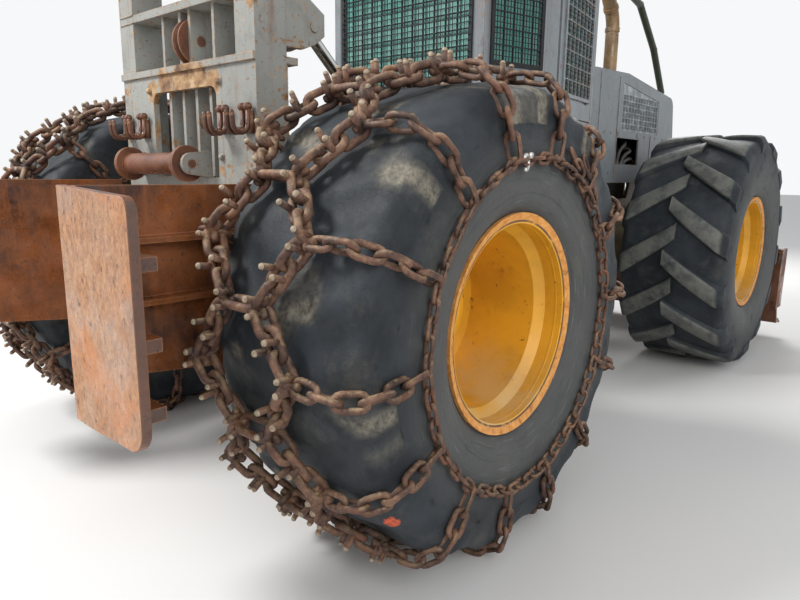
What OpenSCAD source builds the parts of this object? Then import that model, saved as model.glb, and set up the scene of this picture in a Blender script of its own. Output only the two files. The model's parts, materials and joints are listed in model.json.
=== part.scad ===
// Cable skidder: an articulated forestry tractor with a tilting arch, a winch, a log channel and a front blade.
// X points forwards, Y to the machine's left, Z up. The origin is on the ground midway between the axles.

/* [Wheels and stance] */
// Distance between the two axles
wheelbase = 3540; // [3000:10:4200]
// Height of the front axle above the ground
axle_z = 915; // [800:5:1000]
// How much higher the rear axle stands on its tyre chains
chain_rise = 15; // [0:1:40]
// Distance from the machine's middle to a tyre's middle
track_y = 1210; // [1100:5:1400]
// Radius over the lugs of a front tyre
tyre_r = 915; // [800:5:1000]
// Radius of the worn tread of a rear tyre
worn_r = 892; // [780:2:960]
// Widest part of a tyre
tyre_w = 775; // [600:5:900]
// Lugs on each side of a front tyre
lug_n = 16; // [12:1:20]
// Width of a lug
lug_w = 100; // [60:5:130]
// Height of a lug
lug_h = 46; // [20:2:60]
// Radius where the tyre's beads sit on the rim
bead_r = 405; // [350:5:450]
// Width between the two flanges of a rim
rim_w = 686; // [500:2:760]
// Radius over the flanges of a rim
flange_r = 432; // [380:2:480]
// How deep the wheel disc lies behind the outer flange
disc_depth = 470; // [200:5:520]

/* [Joints] */
// Height of the middle of the articulation joint
steer_z = 905; // [800:5:1000]
// Radius of the articulation pins
steer_pin_r = 45; // [30:1:60]
// Place of the arch's pivot behind the middle of the machine
arch_x = -2100; // [-2200:5:-2000]
// Height of the arch's pivot
arch_z = 1330; // [1300:5:1400]
// Radius of the arch's pivot pins
arch_pin_r = 40; // [25:1:50]
// Place of the blade arms' pivot ahead of the middle of the machine
blade_x = 2050; // [2000:5:2100]
// Height of the blade arms' pivot
blade_z = 780; // [700:5:860]
// Radius of the blade arms' pivot pins
blade_pin_r = 35; // [20:1:45]

/* [Frames] */
// Half the distance between the outer faces of a frame's side plates
frame_half = 380; // [340:5:420]
// Thickness of a frame's side plates
frame_t = 30; // [16:1:40]
// Top of both frames
frame_top = 1180; // [1140:5:1220]
// Thickness of the deck plates
deck_t = 30; // [16:1:40]
// Radius of the holes that tie the machine down on a lorry
tie_r = 25; // [12:1:35]

/* [Arch] */
// Rear face of the arch
arch_back = -2226; // [-2280:2:-2200]
// Half the width over the arch's uprights
arch_half = 560; // [500:5:575]
// Width of one upright seen from behind
upright_w = 135; // [80:5:180]
// Depth of one upright
upright_d = 160; // [100:5:200]
// Top of the arch
arch_top = 2500; // [2350:10:2700]
// Half the width of the arch's window
window_half = 270; // [200:5:320]

/* [Log channel] */
// Distance from the middle to the middle of a channel side plate
channel_y = 600; // [560:5:640]
// Rear face of the wings
channel_back = -3045; // [-3200:5:-2900]
// Thickness of the channel's plates
channel_t = 28; // [16:1:40]
// Outer edge of a wing
wing_y = 985; // [900:5:1100]

/* [Cab and hood] */
// Rear wall of the cab
cab_back = -690; // [-750:5:-600]
// Thickness of the cab's walls
cab_t = 40; // [25:1:60]
// Underside of the cab's roof
cab_top = 2960; // [2800:10:3000]
// Line where the cab's lower walls meet the glazed part
cab_belt = 1870; // [1840:5:1900]
// Half the width of the hood
hood_half = 600; // [500:5:640]
// Thickness of the hood's sheet
hood_t = 14; // [6:1:25]

/* [Blade] */
// Half the width of the blade
blade_half = 1600; // [1200:10:1700]
// Distance from the front tyres to the blade's cutting edge
blade_gap = 360; // [300:5:500]

/* [Clearances] */
// Gap between pieces that are seated on each other
seat_gap = 0.3; // [0.1:0.05:0.5]
// Radial gap of a pin or rod in its bore
run_gap = 0.05; // [0.01:0.01:0.1]
// Gap between moving neighbours
move_gap = 6; // [5:1:12]

/* [Hidden] */
$fn = 64;
axle_x = wheelbase / 2;
blade_front = axle_x + tyre_r + blade_gap;
rear_z = axle_z + chain_rise;
rim_out = track_y + rim_w / 2;
rim_in = track_y - rim_w / 2;
disc_y = rim_out - disc_depth;
disc_t = 24;
axle_end = disc_y - disc_t - 70;
ear_t = 50;
ear_out_top = steer_z + 265;
ear_out_low = steer_z - 265;
// Tilt cylinder: base on the rear frame, eye on the arch
tilt_y = 490;
tilt_a = [-1120, 1420];
tilt_e = [-1900, 2120];
// Blade cylinder: base on the nose, eye on the blade
lift_y = 292;
lift_a = [2360, 1580];
lift_e = [blade_front - 345, 620];
// Steering cylinder: base on the rear frame, eye on the front frame
helm_z = steer_z;
helm_a = [-700, 240];
helm_e = [90, 190];
cyl_pin_r = 22;
eye_play = 13;
rod_r = 27;
barrel_r = 48;
eye_r = 60;
eye_w = 50;
lug_t = 24;
deck_top = frame_top + deck_t;

// A flat plate in the X-Z plane, its middle at y
module plate_xz(pts, y, t) {
    translate([0, y + t / 2, 0]) rotate([90, 0, 0]) linear_extrude(t) polygon(pts);
}

// A flat plate in the Y-Z plane, its middle at x
module plate_yz(pts, x, t) {
    translate([x - t / 2, 0, 0]) rotate([90, 0, 90]) linear_extrude(t) polygon(pts);
}

// A round bar along Y between two places
module bar_y(x, y0, y1, z, r) {
    translate([x, y0, z]) rotate([-90, 0, 0]) cylinder(h = y1 - y0, r = r);
}

// A box between two corners
module box(a, b) {
    translate(a) cube(b - a);
}

// Points of a round corner, from angle a0 to a1 about c
function arc(c, r, a0, a1, n = 6) = [for (i = [0:n]) c + r * [cos(a0 + (a1 - a0) * i / n), sin(a0 + (a1 - a0) * i / n)]];

// Puts its children on both sides of the machine
module both_sides() {
    children();
    mirror([0, 1, 0]) children();
}

// Turns X-aligned children so that they point from a to b in the X-Z plane, at y
module along_xz(a, b, y) {
    translate([a[0], y, a[1]]) rotate([0, -atan2(b[1] - a[1], b[0] - a[0]), 0]) children();
}

// Turns X-aligned children so that they point from a to b in the X-Y plane, at z
module along_xy(a, b, z) {
    translate([a[0], a[1], z]) rotate([0, 0, atan2(b[1] - a[1], b[0] - a[0])]) rotate([90, 0, 0]) children();
}

// A straight round bar between two points in space
module tube_bar(p, q, r) {
    d = q - p;
    translate(p) rotate([0, acos(d[2] / norm(d)), atan2(d[1], d[0])]) cylinder(h = norm(d), r = r);
}

// Cylinder barrel along X with its eye at the origin
module barrel(len, start) {
    difference() {
        union() {
            rotate([90, 0, 0]) cylinder(h = eye_w, r = eye_r, center = true);
            rotate([0, 90, 0]) cylinder(h = 80, r = eye_w / 2 - 1);
            translate([eye_r + 10, 0, 0]) rotate([0, 90, 0]) cylinder(h = len - eye_r - 10, r = barrel_r);
            translate([len - 45, 0, 0]) rotate([0, 90, 0]) cylinder(h = 45, r = barrel_r + 8);
        }
        rotate([90, 0, 0]) cylinder(h = eye_w + 2, r = cyl_pin_r + run_gap, center = true);
        translate([start, 0, 0]) rotate([0, 90, 0]) cylinder(h = len, r = rod_r + run_gap);
    }
}

// Cylinder rod along X with its eye's centre at len
module rod(len, start, play) {
    difference() {
        union() {
            translate([start, 0, 0]) rotate([0, 90, 0]) cylinder(h = len - start, r = rod_r);
            translate([len, 0, 0]) rotate([90, 0, 0]) cylinder(h = eye_w, r = eye_r, center = true);
        }
        translate([len, 0, 0]) rotate([90, 0, 0]) cylinder(h = eye_w + 10, r = cyl_pin_r + play, center = true);
    }
}

// Two lugs and their pin, for an eye at place a in the X-Z plane
module clevis_xz(pts, a, y) {
    off = eye_w / 2 + move_gap + lug_t / 2;
    plate_xz(pts, y - off, lug_t);
    plate_xz(pts, y + off, lug_t);
    bar_y(a[0], y - off - lug_t / 2 - 8, y + off + lug_t / 2 + 8, a[1], cyl_pin_r);
}

// Wheels

// Half of a tyre's section, from the bead to the middle of the tread
function tyre_side(r) = [
    [bead_r + seat_gap, rim_w / 2 - 22], [bead_r + 30, rim_w / 2 - 18],
    [bead_r + 70, tyre_w / 2 - 26], [bead_r + 150, tyre_w / 2 - 6], [bead_r + 240, tyre_w / 2],
    [bead_r + 330, tyre_w / 2 - 3], [r - 60, tyre_w / 2 - 9], [r - 22, tyre_w / 2 - 22], [r, tyre_w / 2 - 50]
];

function tyre_inside(r) = [
    [r - 95, tyre_w / 2 - 110], [bead_r + 240, tyre_w / 2 - 50], [bead_r + 90, tyre_w / 2 - 90],
    [bead_r + seat_gap, rim_w / 2 - 70]
];

module tyre(r) {
    half = concat(tyre_side(r), tyre_inside(r));
    for (s = [1, -1]) {
        rotate([-90, 0, 0]) rotate_extrude() polygon([for (p = half) [p[0], s * p[1]]]);
    }
    rotate([-90, 0, 0]) rotate_extrude() polygon([
        [r - 95, tyre_w / 2 - 110], [r, tyre_w / 2 - 50], [r, -(tyre_w / 2 - 50)], [r - 95, -(tyre_w / 2 - 110)]
    ]);
}

// Bar lugs of a front tyre, staggered between its two sides
lug_reach = 300;

function lug_mid(u) = lug_reach * (pow(u, 0.92) - 0.5);

module lug_bar(s) {
    half = tyre_w / 2;
    steps = [0, 0.25, 0.5, 0.75, 1];
    edge = [for (u = steps) [u, lug_w * (0.82 + 0.36 * u) / 2 / cos(38)]];
    rotate([0, 90, 0]) linear_extrude(140) polygon(concat(
        [for (e = edge) [-lug_mid(e[0]) - e[1], s * (e[0] * (half + 30) - 30)]],
        [for (i = [4:-1:0]) [-lug_mid(edge[i][0]) + edge[i][1], s * (edge[i][0] * (half + 30) - 30)]]
    ));
}

module tyre_lugs() {
    intersection() {
        for (s = [1, -1], i = [0:lug_n - 1]) {
            rotate([0, -(i + (s > 0 ? 0 : 0.5)) * 360 / lug_n, 0]) translate([tyre_r - 125, 0, 0]) lug_bar(s);
        }
        rotate([-90, 0, 0]) rotate_extrude() polygon([
            [tyre_r - 140, -tyre_w / 2 + 3], [tyre_r - 90, -tyre_w / 2 + 3], [tyre_r - 34, -tyre_w / 2 + 24], [tyre_r, -tyre_w / 2 + 85],
            [tyre_r, tyre_w / 2 - 85], [tyre_r - 34, tyre_w / 2 - 24], [tyre_r - 90, tyre_w / 2 - 3], [tyre_r - 140, tyre_w / 2 - 3]
        ]);
    }
}

module front_tyre() {
    tyre(tyre_r - lug_h);
    tyre_lugs();
}

// Rim of a left wheel: its dish opens towards +Y
module rim() {
    well = bead_r - 30;
    rotate([-90, 0, 0]) rotate_extrude() polygon([
        [flange_r, rim_w / 2], [flange_r, rim_w / 2 - 16], [bead_r, rim_w / 2 - 22], [bead_r, rim_w / 2 - 90],
        [well, rim_w / 2 - 130], [well, -rim_w / 2 + 130], [bead_r, -rim_w / 2 + 90], [bead_r, -rim_w / 2 + 22],
        [flange_r, -rim_w / 2 + 16], [flange_r, -rim_w / 2], [bead_r - 14, -rim_w / 2 + 14],
        [bead_r - 14, -rim_w / 2 + 96], [well - 14, -rim_w / 2 + 136], [well - 14, rim_w / 2 - 136],
        [bead_r - 14, rim_w / 2 - 96], [bead_r - 14, rim_w / 2 - 14]
    ]);
    difference() {
        translate([0, disc_y - track_y - disc_t, 0]) rotate([-90, 0, 0]) cylinder(h = disc_t, r = well - 5);
        for (i = [0:5]) {
            rotate([0, i * 60, 0]) translate([260, disc_y - track_y - disc_t - 1, 0]) rotate([-90, 0, 0]) cylinder(h = disc_t + 2, r = 38);
        }
    }
    rotate([-90, 0, 0]) rotate_extrude() polygon([
        [0, axle_end + move_gap - track_y], [175, axle_end + move_gap - track_y], [185, disc_y - track_y - disc_t],
        [185, disc_y - track_y + 40], [165, disc_y - track_y + 95], [95, disc_y - track_y + 110], [85, disc_y - track_y + 135],
        [0, disc_y - track_y + 135]
    ]);
    for (i = [0:11]) {
        rotate([0, i * 30 + 15, 0]) translate([212, disc_y - track_y - 1, 0]) rotate([-90, 0, 0]) cylinder(h = 26, r = 15, $fn = 6);
    }
}

module at_wheel(x, side) {
    translate([x, side * track_y, x > 0 ? axle_z : rear_z]) scale_side(side) children();
}

module scale_side(side) {
    if (side > 0) {
        children();
    } else {
        mirror([0, 1, 0]) children();
    }
}

// Tyre chain: side chains, cross chains over the shoulders and a net of hexagons with pegs on the tread
chain_n = 14;
chain_phase = 106;
cross_w = 22;
net_w = 26;
chain_side_r = 635;
chain_side_y = tyre_w / 2 + 21;
chain_top_r = worn_r + 36;
net_y = [190, 55];
net_shift = -60;
peg_r = worn_r + 106;
peg_w = 20;

// A place of the chain on a wheel; under the wheel it is pressed flat on the ground
function on_wheel(r, y, a) = [r * cos(a), y, max(r * sin(a), net_w / 2 + 1 - rear_z)];
function net_place(s, i, a) = on_wheel(chain_top_r, s * net_y[i] + net_shift, a);
function peg_top(a) = -sin(a) * peg_r + peg_w * abs(cos(a)) > rear_z - 1 ? (rear_z - 1 - peg_w * abs(cos(a))) / -sin(a) : peg_r;

// A three-sided bar between two points in space
module link_bar(p, q, w) {
    d = q - p;
    translate(p) rotate([0, -asin(d[2] / norm(d)), atan2(d[1], d[0])]) translate([-w / 4, 0, 0])
        rotate([0, 90, 0]) cylinder(h = norm(d) + w / 2, r = w / 2, $fn = 3);
}

// Pegs that stand on a link of the net
module peg(y, a) {
    foot = chain_top_r - 9;
    rotate([0, -a, 0]) translate([foot, y + net_shift - peg_w / 2, -peg_w]) cube([peg_top(a) - foot, peg_w, 2 * peg_w]);
}

module tyre_chain() {
    pitch = 360 / chain_n;
    for (s = [1, -1]) {
        rotate([-90, 0, 0]) rotate_extrude() translate([chain_side_r - 12, s * chain_side_y - 20]) square([24, 40]);
    }
    for (i = [0:chain_n - 1]) {
        a = chain_phase + i * pitch;
        for (s = [1, -1]) {
            corner = on_wheel(worn_r + 14, s * (tyre_w / 2 + 14), a);
            link_bar(on_wheel(chain_side_r, s * chain_side_y, a), corner, cross_w);
            link_bar(corner, net_place(s, 0, a), cross_w);
            peg(s * net_y[0], a);
            peg(s * net_y[1], a + pitch / 2);
            for (d = [-1, 1]) {
                link_bar(net_place(s, 0, a), net_place(s, 1, a + d * pitch / 2), net_w);
                peg(s * (net_y[0] + net_y[1]) / 2, a + d * pitch / 4);
            }
        }
        link_bar(net_place(-1, 1, a + pitch / 2), net_place(1, 1, a + pitch / 2), net_w);
    }
}

// Rear half

module rear_side() {
    difference() {
        plate_xz([[-420, ear_out_low - ear_t], [-2250, 700], [-2250, frame_top], [-420, frame_top]], frame_half - frame_t / 2, frame_t);
        bar_y(-axle_x, 0, 1000, rear_z, 165 + seat_gap);
    }
}

module ear(z) {
    difference() {
        translate([0, 0, z]) linear_extrude(ear_t) polygon(concat(
            [[-600, -frame_half], [-420, -frame_half]], arc([0, 0], 125, -60, 60, 10), [[-420, frame_half], [-600, frame_half]]
        ));
    }
}

// A flat eye on a frame's side with an upright hole
module tie_eye(x, y0, z) {
    translate([0, 0, z]) linear_extrude(30) difference() {
        polygon(concat([[x - 90, y0], [x + 90, y0]], arc([x, y0 + 65], 50, 0, 180, 8)));
        translate([x, y0 + 65]) circle(tie_r);
    }
}

module rear_frame() {
    color("#b9ab92") {
        both_sides() rear_side();
        difference() {
            union() {
                ear(ear_out_top - ear_t);
                ear(ear_out_low);
            }
            box([-20, -20, steer_z - 5], [20, 20, steer_z + 5]);
        }
        // Articulation pins
        translate([0, 0, ear_out_top - ear_t - move_gap - ear_t - 20]) cylinder(h = 2 * ear_t + move_gap + 40, r = steer_pin_r);
        translate([0, 0, ear_out_low - 20]) cylinder(h = 2 * ear_t + move_gap + 40, r = steer_pin_r);
        // Cross plates
        box([-1330, -frame_half + 1, 720], [-1300, frame_half - 1, frame_top]);
        box([-2250, -frame_half + 1, 700], [-2220, frame_half - 1, frame_top]);
        box([-730, -frame_half + 1, ear_out_low + ear_t - 10], [-640, frame_half - 1, helm_z - 90]);
        // Tie-down eyes
        both_sides() tie_eye(-650, frame_half - 10, 760);
        // Deck
        difference() {
            box([-2255, -channel_y + channel_t, frame_top], [-1030, channel_y - channel_t, deck_top]);
            box([-1040, -frame_half + 90, frame_top - 1], [-1025, frame_half - 90, deck_top + 1]);
        }
        // Ears of the arch's pivot
        both_sides() {
            for (y = [arch_half + move_gap + 12, arch_half - upright_w - move_gap - 12]) {
                plate_xz(concat([[arch_x - 90, deck_top - 1]], [[arch_x + 90, deck_top - 1]], arc([arch_x, arch_z], 62, 0, 180, 10)), y, 24);
            }
            bar_y(arch_x, arch_half - upright_w - move_gap - 30, arch_half + move_gap + 30, arch_z, arch_pin_r);
        }
        // Lugs of the tilt cylinders
        both_sides() clevis_xz(concat([[tilt_a[0] - 110, deck_top - 1]], [[tilt_a[0] + 85, deck_top - 1]], arc(tilt_a, 55, 0, 180, 10)), tilt_a, tilt_y);
        // Lugs of the steering cylinders
        both_sides() {
            for (z = [helm_z - eye_w / 2 - move_gap - lug_t, helm_z + eye_w / 2 + move_gap]) {
                translate([0, 0, z]) linear_extrude(lug_t) polygon(concat([[helm_a[0] - 60, frame_half - 2], [helm_a[0] - 60, helm_a[1]]],
                    arc(helm_a, 55, 190, 350, 8), [[helm_a[0] + 60, helm_a[1]], [helm_a[0] + 60, frame_half - 2]]));
            }
            translate([helm_a[0], helm_a[1], helm_z - eye_w / 2 - move_gap - lug_t - 5]) cylinder(h = eye_w + 2 * move_gap + 2 * lug_t + 10, r = cyl_pin_r);
        }
    }
}

module axle_housing() {
    rotate([-90, 0, 0]) rotate_extrude() polygon([
        [0, -axle_end], [200, -axle_end], [200, -axle_end + 50], [165, -axle_end + 90], [165, -330], [180, -300],
        [222, -170], [236, -60], [236, 60], [222, 170], [180, 300], [165, 330], [165, axle_end - 90],
        [200, axle_end - 50], [200, axle_end], [0, axle_end]
    ]);
}

module rear_axle() {
    color("#8f7a5c") translate([-axle_x, 0, rear_z]) {
        axle_housing();
        rotate([0, 90, 0]) cylinder(h = 380, r1 = 150, r2 = 90);
    }
}

module front_axle() {
    color("#8f7a5c") translate([axle_x, 0, axle_z]) {
        axle_housing();
        rotate([0, -90, 0]) cylinder(h = 380, r1 = 150, r2 = 90);
    }
}

winch_x = -1560;
winch_z = 1500;
drum_half = 215;

module winch() {
    color("#a8997e") {
        difference() {
            both_sides() plate_xz(concat([[winch_x - 230, deck_top + seat_gap], [winch_x + 280, deck_top + seat_gap], [winch_x + 280, winch_z - 60]],
                arc([winch_x, winch_z], 255, 10, 170, 14), [[winch_x - 230, winch_z - 90]]), drum_half + 40, 60);
            bar_y(winch_x, -400, 400, winch_z, 60 + run_gap);
        }
        both_sides() bar_y(winch_x, drum_half + 70, drum_half + 150, winch_z, 150);
        box([winch_x + 200, -drum_half - 20, deck_top + seat_gap], [winch_x + 280, drum_half + 20, winch_z - 120]);
    }
}

module winch_drum() {
    color("#6e6a63") {
        bar_y(winch_x, -drum_half - 60, drum_half + 60, winch_z, 60);
        bar_y(winch_x, -drum_half + 2, drum_half - 2, winch_z, 165);
        both_sides() bar_y(winch_x, drum_half - 20, drum_half + 4, winch_z, 225);
    }
}

// Arch

module window_cut(z0, z1, x0, x1) {
    r = 20;
    translate([x0, 0, 0]) rotate([90, 0, 90]) linear_extrude(x1 - x0) polygon(concat(
        [[-window_half, z0], [window_half, z0]], arc([window_half - r, z1 - r], r, 0, 90, 5), arc([-window_half + r, z1 - r], r, 90, 180, 5)
    ));
}

shelf_z = 1945;
bay_z = 2210;
bar_ys = [172, 54, -59, -174];

module arch() {
    front = arch_back + upright_d;
    color("#b9ab92") difference() {
        union() {
            both_sides() {
                box([arch_back, arch_half - upright_w, arch_z], [front, arch_half, arch_top]);
                bar_y(arch_x, arch_half - upright_w, arch_half, arch_z, 78);
            }
            // Lower, middle and upper cross members
            box([arch_back, -arch_half + 10, 1400], [front, arch_half - 10, 1470]);
            difference() {
                box([arch_back, -arch_half + 10, 1460], [arch_back + 30, arch_half - 10, shelf_z]);
                window_cut(1471, 1866, arch_back - 1, arch_back + 31);
            }
            box([arch_back - 12, -arch_half, shelf_z], [front + 60, arch_half, shelf_z + 30]);
            box([arch_back, -arch_half + 10, bay_z], [front, arch_half - 10, bay_z + 36]);
            box([arch_back, -arch_half + 10, arch_top - 90], [front, arch_half - 10, arch_top]);
            for (y = bar_ys) {
                box([arch_back + 35, y - 11, 1460], [front - 10, y + 11, shelf_z + 5]);
            }
            // Plates of the sheave's bay
            for (y = [-230, -40, 40, 190]) {
                box([arch_back + 25, y - 10, shelf_z + 20], [front - 5, y + 10, bay_z + 5]);
            }
            // Guards and lugs of the tilt cylinders
            both_sides() {
                clevis_xz([[front - 5, 2020], [front - 5, 2230], [tilt_e[0] - 30, 2235], [tilt_e[0] + 62, 2180],
                    [tilt_e[0] + 62, 2090], [tilt_e[0] + 10, 2050], [tilt_e[0] - 60, 2020]], tilt_e, tilt_y);
            }
            // Ears of the fairlead roller
            for (y = [-190, 390]) {
                plate_xz(concat([[arch_back + 10, 1470], [arch_back + 10, 1590]], arc([roller_x, roller_z], 48, 90, 270, 8)), y, 20);
            }
        }
        both_sides() bar_y(arch_x, 300, 700, arch_z, arch_pin_r + run_gap);
        bar_y(roller_x, -300, 500, roller_z, 18 + run_gap);
        bar_y(arch_back + 80, -150, 150, 2080, 24 + run_gap);
    }
}

roller_x = arch_back - 92;
roller_z = 1530;

module fairlead_roller() {
    color("#7a4a30") {
        bar_y(roller_x, -206, 406, roller_z, 18);
        bar_y(roller_x, -170, 370, roller_z, 50);
        bar_y(roller_x, -170, -146, roller_z, 80);
        bar_y(roller_x, 346, 370, roller_z, 80);
    }
}

module arch_sheave() {
    color("#7a4a30") difference() {
        union() {
            bar_y(arch_back + 80, -50, 50, 2080, 23);
            rotate([0, 0, 0]) translate([arch_back + 80, 0, 2080]) rotate([-90, 0, 0]) rotate_extrude() polygon([
                [20, -28], [105, -28], [105, -20], [78, -8], [78, 8], [105, 20], [105, 28], [20, 28]
            ]);
        }
    }
}

// Places of the double hooks on the arch's rear face: y and side of the opening
hook_ys = [-510, -350, 350, 510];
hook_t = 22;

module choker_hooks() {
    hook = concat([[0, 1650], [0, 1742]], arc([-24, 1762], 20, 0, 180, 8), [[-48, 1700]], arc([-66, 1694], 16, 0, -180, 6),
        [[-86, 1738], [-108, 1738]], arc([-62, 1694], 54, 180, 300, 8));
    color("#6b4630") for (y = hook_ys) {
        for (d = [-18, 18]) {
            difference() {
                plate_xz([for (p = hook) [arch_back - seat_gap + p[0], p[1]]], y + d, hook_t);
                bar_y(arch_back - seat_gap - 24, y - 60, y + 60, 1762, 8);
            }
        }
        box([arch_back - seat_gap - 90, y - 19, 1652], [arch_back - seat_gap, y + 19, 1668]);
    }
}

// Log channel

module channel_plan() {
    t = channel_t / 2;
    r = 70;
    xb = channel_back + channel_t;
    difference() {
        polygon(concat(
            [[-2262, channel_y - t], [-2262, channel_y + t]], arc([xb + r, channel_y + t + r], r, 270, 180, 8),
            [[xb, wing_y], [channel_back, wing_y]], arc([xb + r, channel_y + t + r], r + channel_t, 180, 270, 8)
        ));
    }
}

module butt_plate() {
    color("#9c6236") {
        both_sides() {
            intersection() {
                translate([0, 0, 640]) linear_extrude(820) channel_plan();
                union() {
                    plate_xz([[-2200, 1450], [channel_back + 40, 1450], [channel_back - 10, 1425], [channel_back - 10, 800], [-2200, 700]], 500, 400);
                    plate_yz(concat([[700 - 40, 700], [620, 1420], [700, 1412]], arc([wing_y - 70, 1305], 70, 80, 0, 6),
                        arc([wing_y - 90, 750], 90, 0, -90, 6)), channel_back, 400);
                }
            }
            for (z = [1250, 1030]) {
                box([channel_back + 80, channel_y + 10, z], [-2262, channel_y + 75, z + 20]);
            }
        }
        // Plate that closes the frame's end below the arch
        box([-2290, -channel_y, 700], [-2262, channel_y, 1285]);
        box([-2290, -channel_y, 690], [-2262 + 5, channel_y, 715]);
    }
}

// Front half

module front_ear(z) {
    translate([0, 0, z]) linear_extrude(ear_t) polygon(concat(
        [[600, -frame_half], [430, -frame_half]], arc([0, 0], 125, 240, 120, 10), [[430, frame_half], [600, frame_half]]
    ));
}

module front_side() {
    difference() {
        plate_xz([[420, ear_out_low + ear_t + move_gap], [1500, 640], [2300, 640], [2420, 760], [2420, 1650], [2250, 1650], [2100, frame_top + 110],
            [900, frame_top + 110], [700, frame_top], [420, frame_top]], frame_half - frame_t / 2, frame_t);
        bar_y(axle_x, 0, 1000, axle_z, 165 + seat_gap);
    }
}

module front_frame() {
    color("#b9ab92") {
        both_sides() front_side();
        difference() {
            union() {
                front_ear(ear_out_top - 2 * ear_t - move_gap);
                front_ear(ear_out_low + ear_t + move_gap);
            }
            translate([0, 0, 500]) cylinder(h = 900, r = steer_pin_r + run_gap);
        }
        box([570, -frame_half + 1, frame_top - 30], [700, frame_half - 1, frame_top]);
        box([1230, -frame_half + 1, 700], [1260, frame_half - 1, frame_top]);
        box([2390, -lift_y + barrel_r + 12, 760], [2420, lift_y - barrel_r - 12, 1655]);
        box([2290, -frame_half + 1, lift_a[1] + eye_r + 8], [2420, frame_half - 1, lift_a[1] + eye_r + 32]);
        box([2000, -frame_half + 1, 620], [2300, frame_half - 1, 645]);
        // Tie-down eyes
        both_sides() tie_eye(1245, frame_half - 10, 700);
        // Cab deck
        box([-560, -560, frame_top + 30], [700, 560, frame_top + 60]);
        both_sides() box([430, frame_half - frame_t, frame_top - 1], [700, frame_half, frame_top + 31]);
        // Ears of the blade's pivot
        both_sides() {
            for (y = [frame_half + 35, frame_half + 155]) {
                plate_xz(concat([[blade_x - 75, 1000], [blade_x + 75, 1000]], arc([blade_x, blade_z], 75, 0, -180, 10)), y, 24);
            }
            box([blade_x - 75, frame_half - 5, 960], [blade_x + 75, frame_half + 167, 1000]);
            bar_y(blade_x, frame_half + 18, frame_half + 175, blade_z, blade_pin_r);
        }
        // Lugs of the blade's cylinders
        both_sides() clevis_xz(concat([[lift_a[0] + 58, lift_a[1] + eye_r + 15], [lift_a[0] - 58, lift_a[1] + eye_r + 15]],
            arc(lift_a, 58, 180, 360, 10)), lift_a, lift_y);
        // Lugs of the steering cylinders
        both_sides() {
            for (z = [helm_z - eye_w / 2 - move_gap - lug_t, helm_z + eye_w / 2 + move_gap]) {
                translate([0, 0, z]) linear_extrude(lug_t) polygon(concat([[440, 130], [440, 290]], arc([helm_e[0], helm_e[1]], 70, 90, 270, 8)));
            }
        }
        box([430, -frame_half + 1, helm_z - 90], [470, frame_half - 1, helm_z + 90]);
    }
}

module engine() {
    color("#5b5a55") {
        box([1010, -300, 1200], [2080, 300, 1990]);
        box([701, -220, 1020], [1012, 220, 1420]);
    }
}

exhaust_at = [1600, -350];
hood_pts = concat([[745, 1440], [745, 2284]], [[860, 2290], [1420, 2310]], arc([2400, 2110], 100, 80, 8, 6), [[2580, 1700], [2560, 1480], [2430, 1440]]);
hood_in = concat([[745 - 1, 1440 + 30], [745 - 1, 2284 - hood_t]], [[860, 2290 - hood_t], [1420, 2310 - hood_t]],
    arc([2400, 2110], 100 - hood_t, 80, 8, 6), [[2580 - hood_t, 1700], [2560 - hood_t, 1490], [2430, 1470]]);

module hood() {
    color("#b9ab92") difference() {
        union() {
            difference() {
                plate_xz(hood_pts, 0, 2 * hood_half);
                plate_xz(hood_in, 0, 2 * hood_half - 2 * hood_t);
            }
        }
        // Side grille, side hatch, floor and nose openings
        for (s = [-1, 1]) {
            plate_xz(side_grille, s * hood_half, 4 * hood_t);
        }
        plate_xz([[1270, 1590], [1270, 1800], [1730, 1800], [1730, 1590]], -hood_half, 4 * hood_t);
        box([760, -frame_half - 40, 1400], [2530, frame_half + 40, 1485]);
        box([2350, -420, 1600], [2700, 420, 2060]);
        translate([exhaust_at[0], exhaust_at[1], 2150]) cylinder(h = 300, r = 80 + seat_gap);
    }
}

side_grille = [[1340, 1860], [1340, 2230], [2140, 2145], [2140, 1860]];

module hood_grilles() {
    color("#4a4740") {
        // Side grilles
        both_sides() translate([0, hood_half - 3, 0]) rotate([90, 0, 0]) linear_extrude(8) difference() {
            polygon([[1341, 1861], [1341, 2228], [2139, 2143], [2139, 1861]]);
            for (i = [0:12], k = [0:5]) {
                translate([1354 + i * 60, 1874 + k * 46]) square([50, 38]);
            }
        }
        // Front grille of upright slats
        translate([2516, 0, 0]) rotate([0, 0, 90]) translate([-419, 0, 1602]) rotate([90, 0, 0]) linear_extrude(20) difference() {
            square([838, 456]);
            for (i = [0:10]) {
                translate([20 + i * 73, 20]) square([58, 416]);
            }
        }
    }
}

pane_top = cab_top - 100;
door_top = cab_top - 60;

// Cab: corner points of its plan above the belt, left side, from the back
cab_plan = [[cab_back, 610], [-200, 740], [-40, 745], [690, 640]];
post_r = 34;

module in_wall(p, q) {
    d = q - p;
    translate([p[0], p[1], 0]) rotate([0, 0, atan2(d[1], d[0])]) children();
}

function wall_len(i) = norm(cab_plan[i + 1] - cab_plan[i]);

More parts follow.
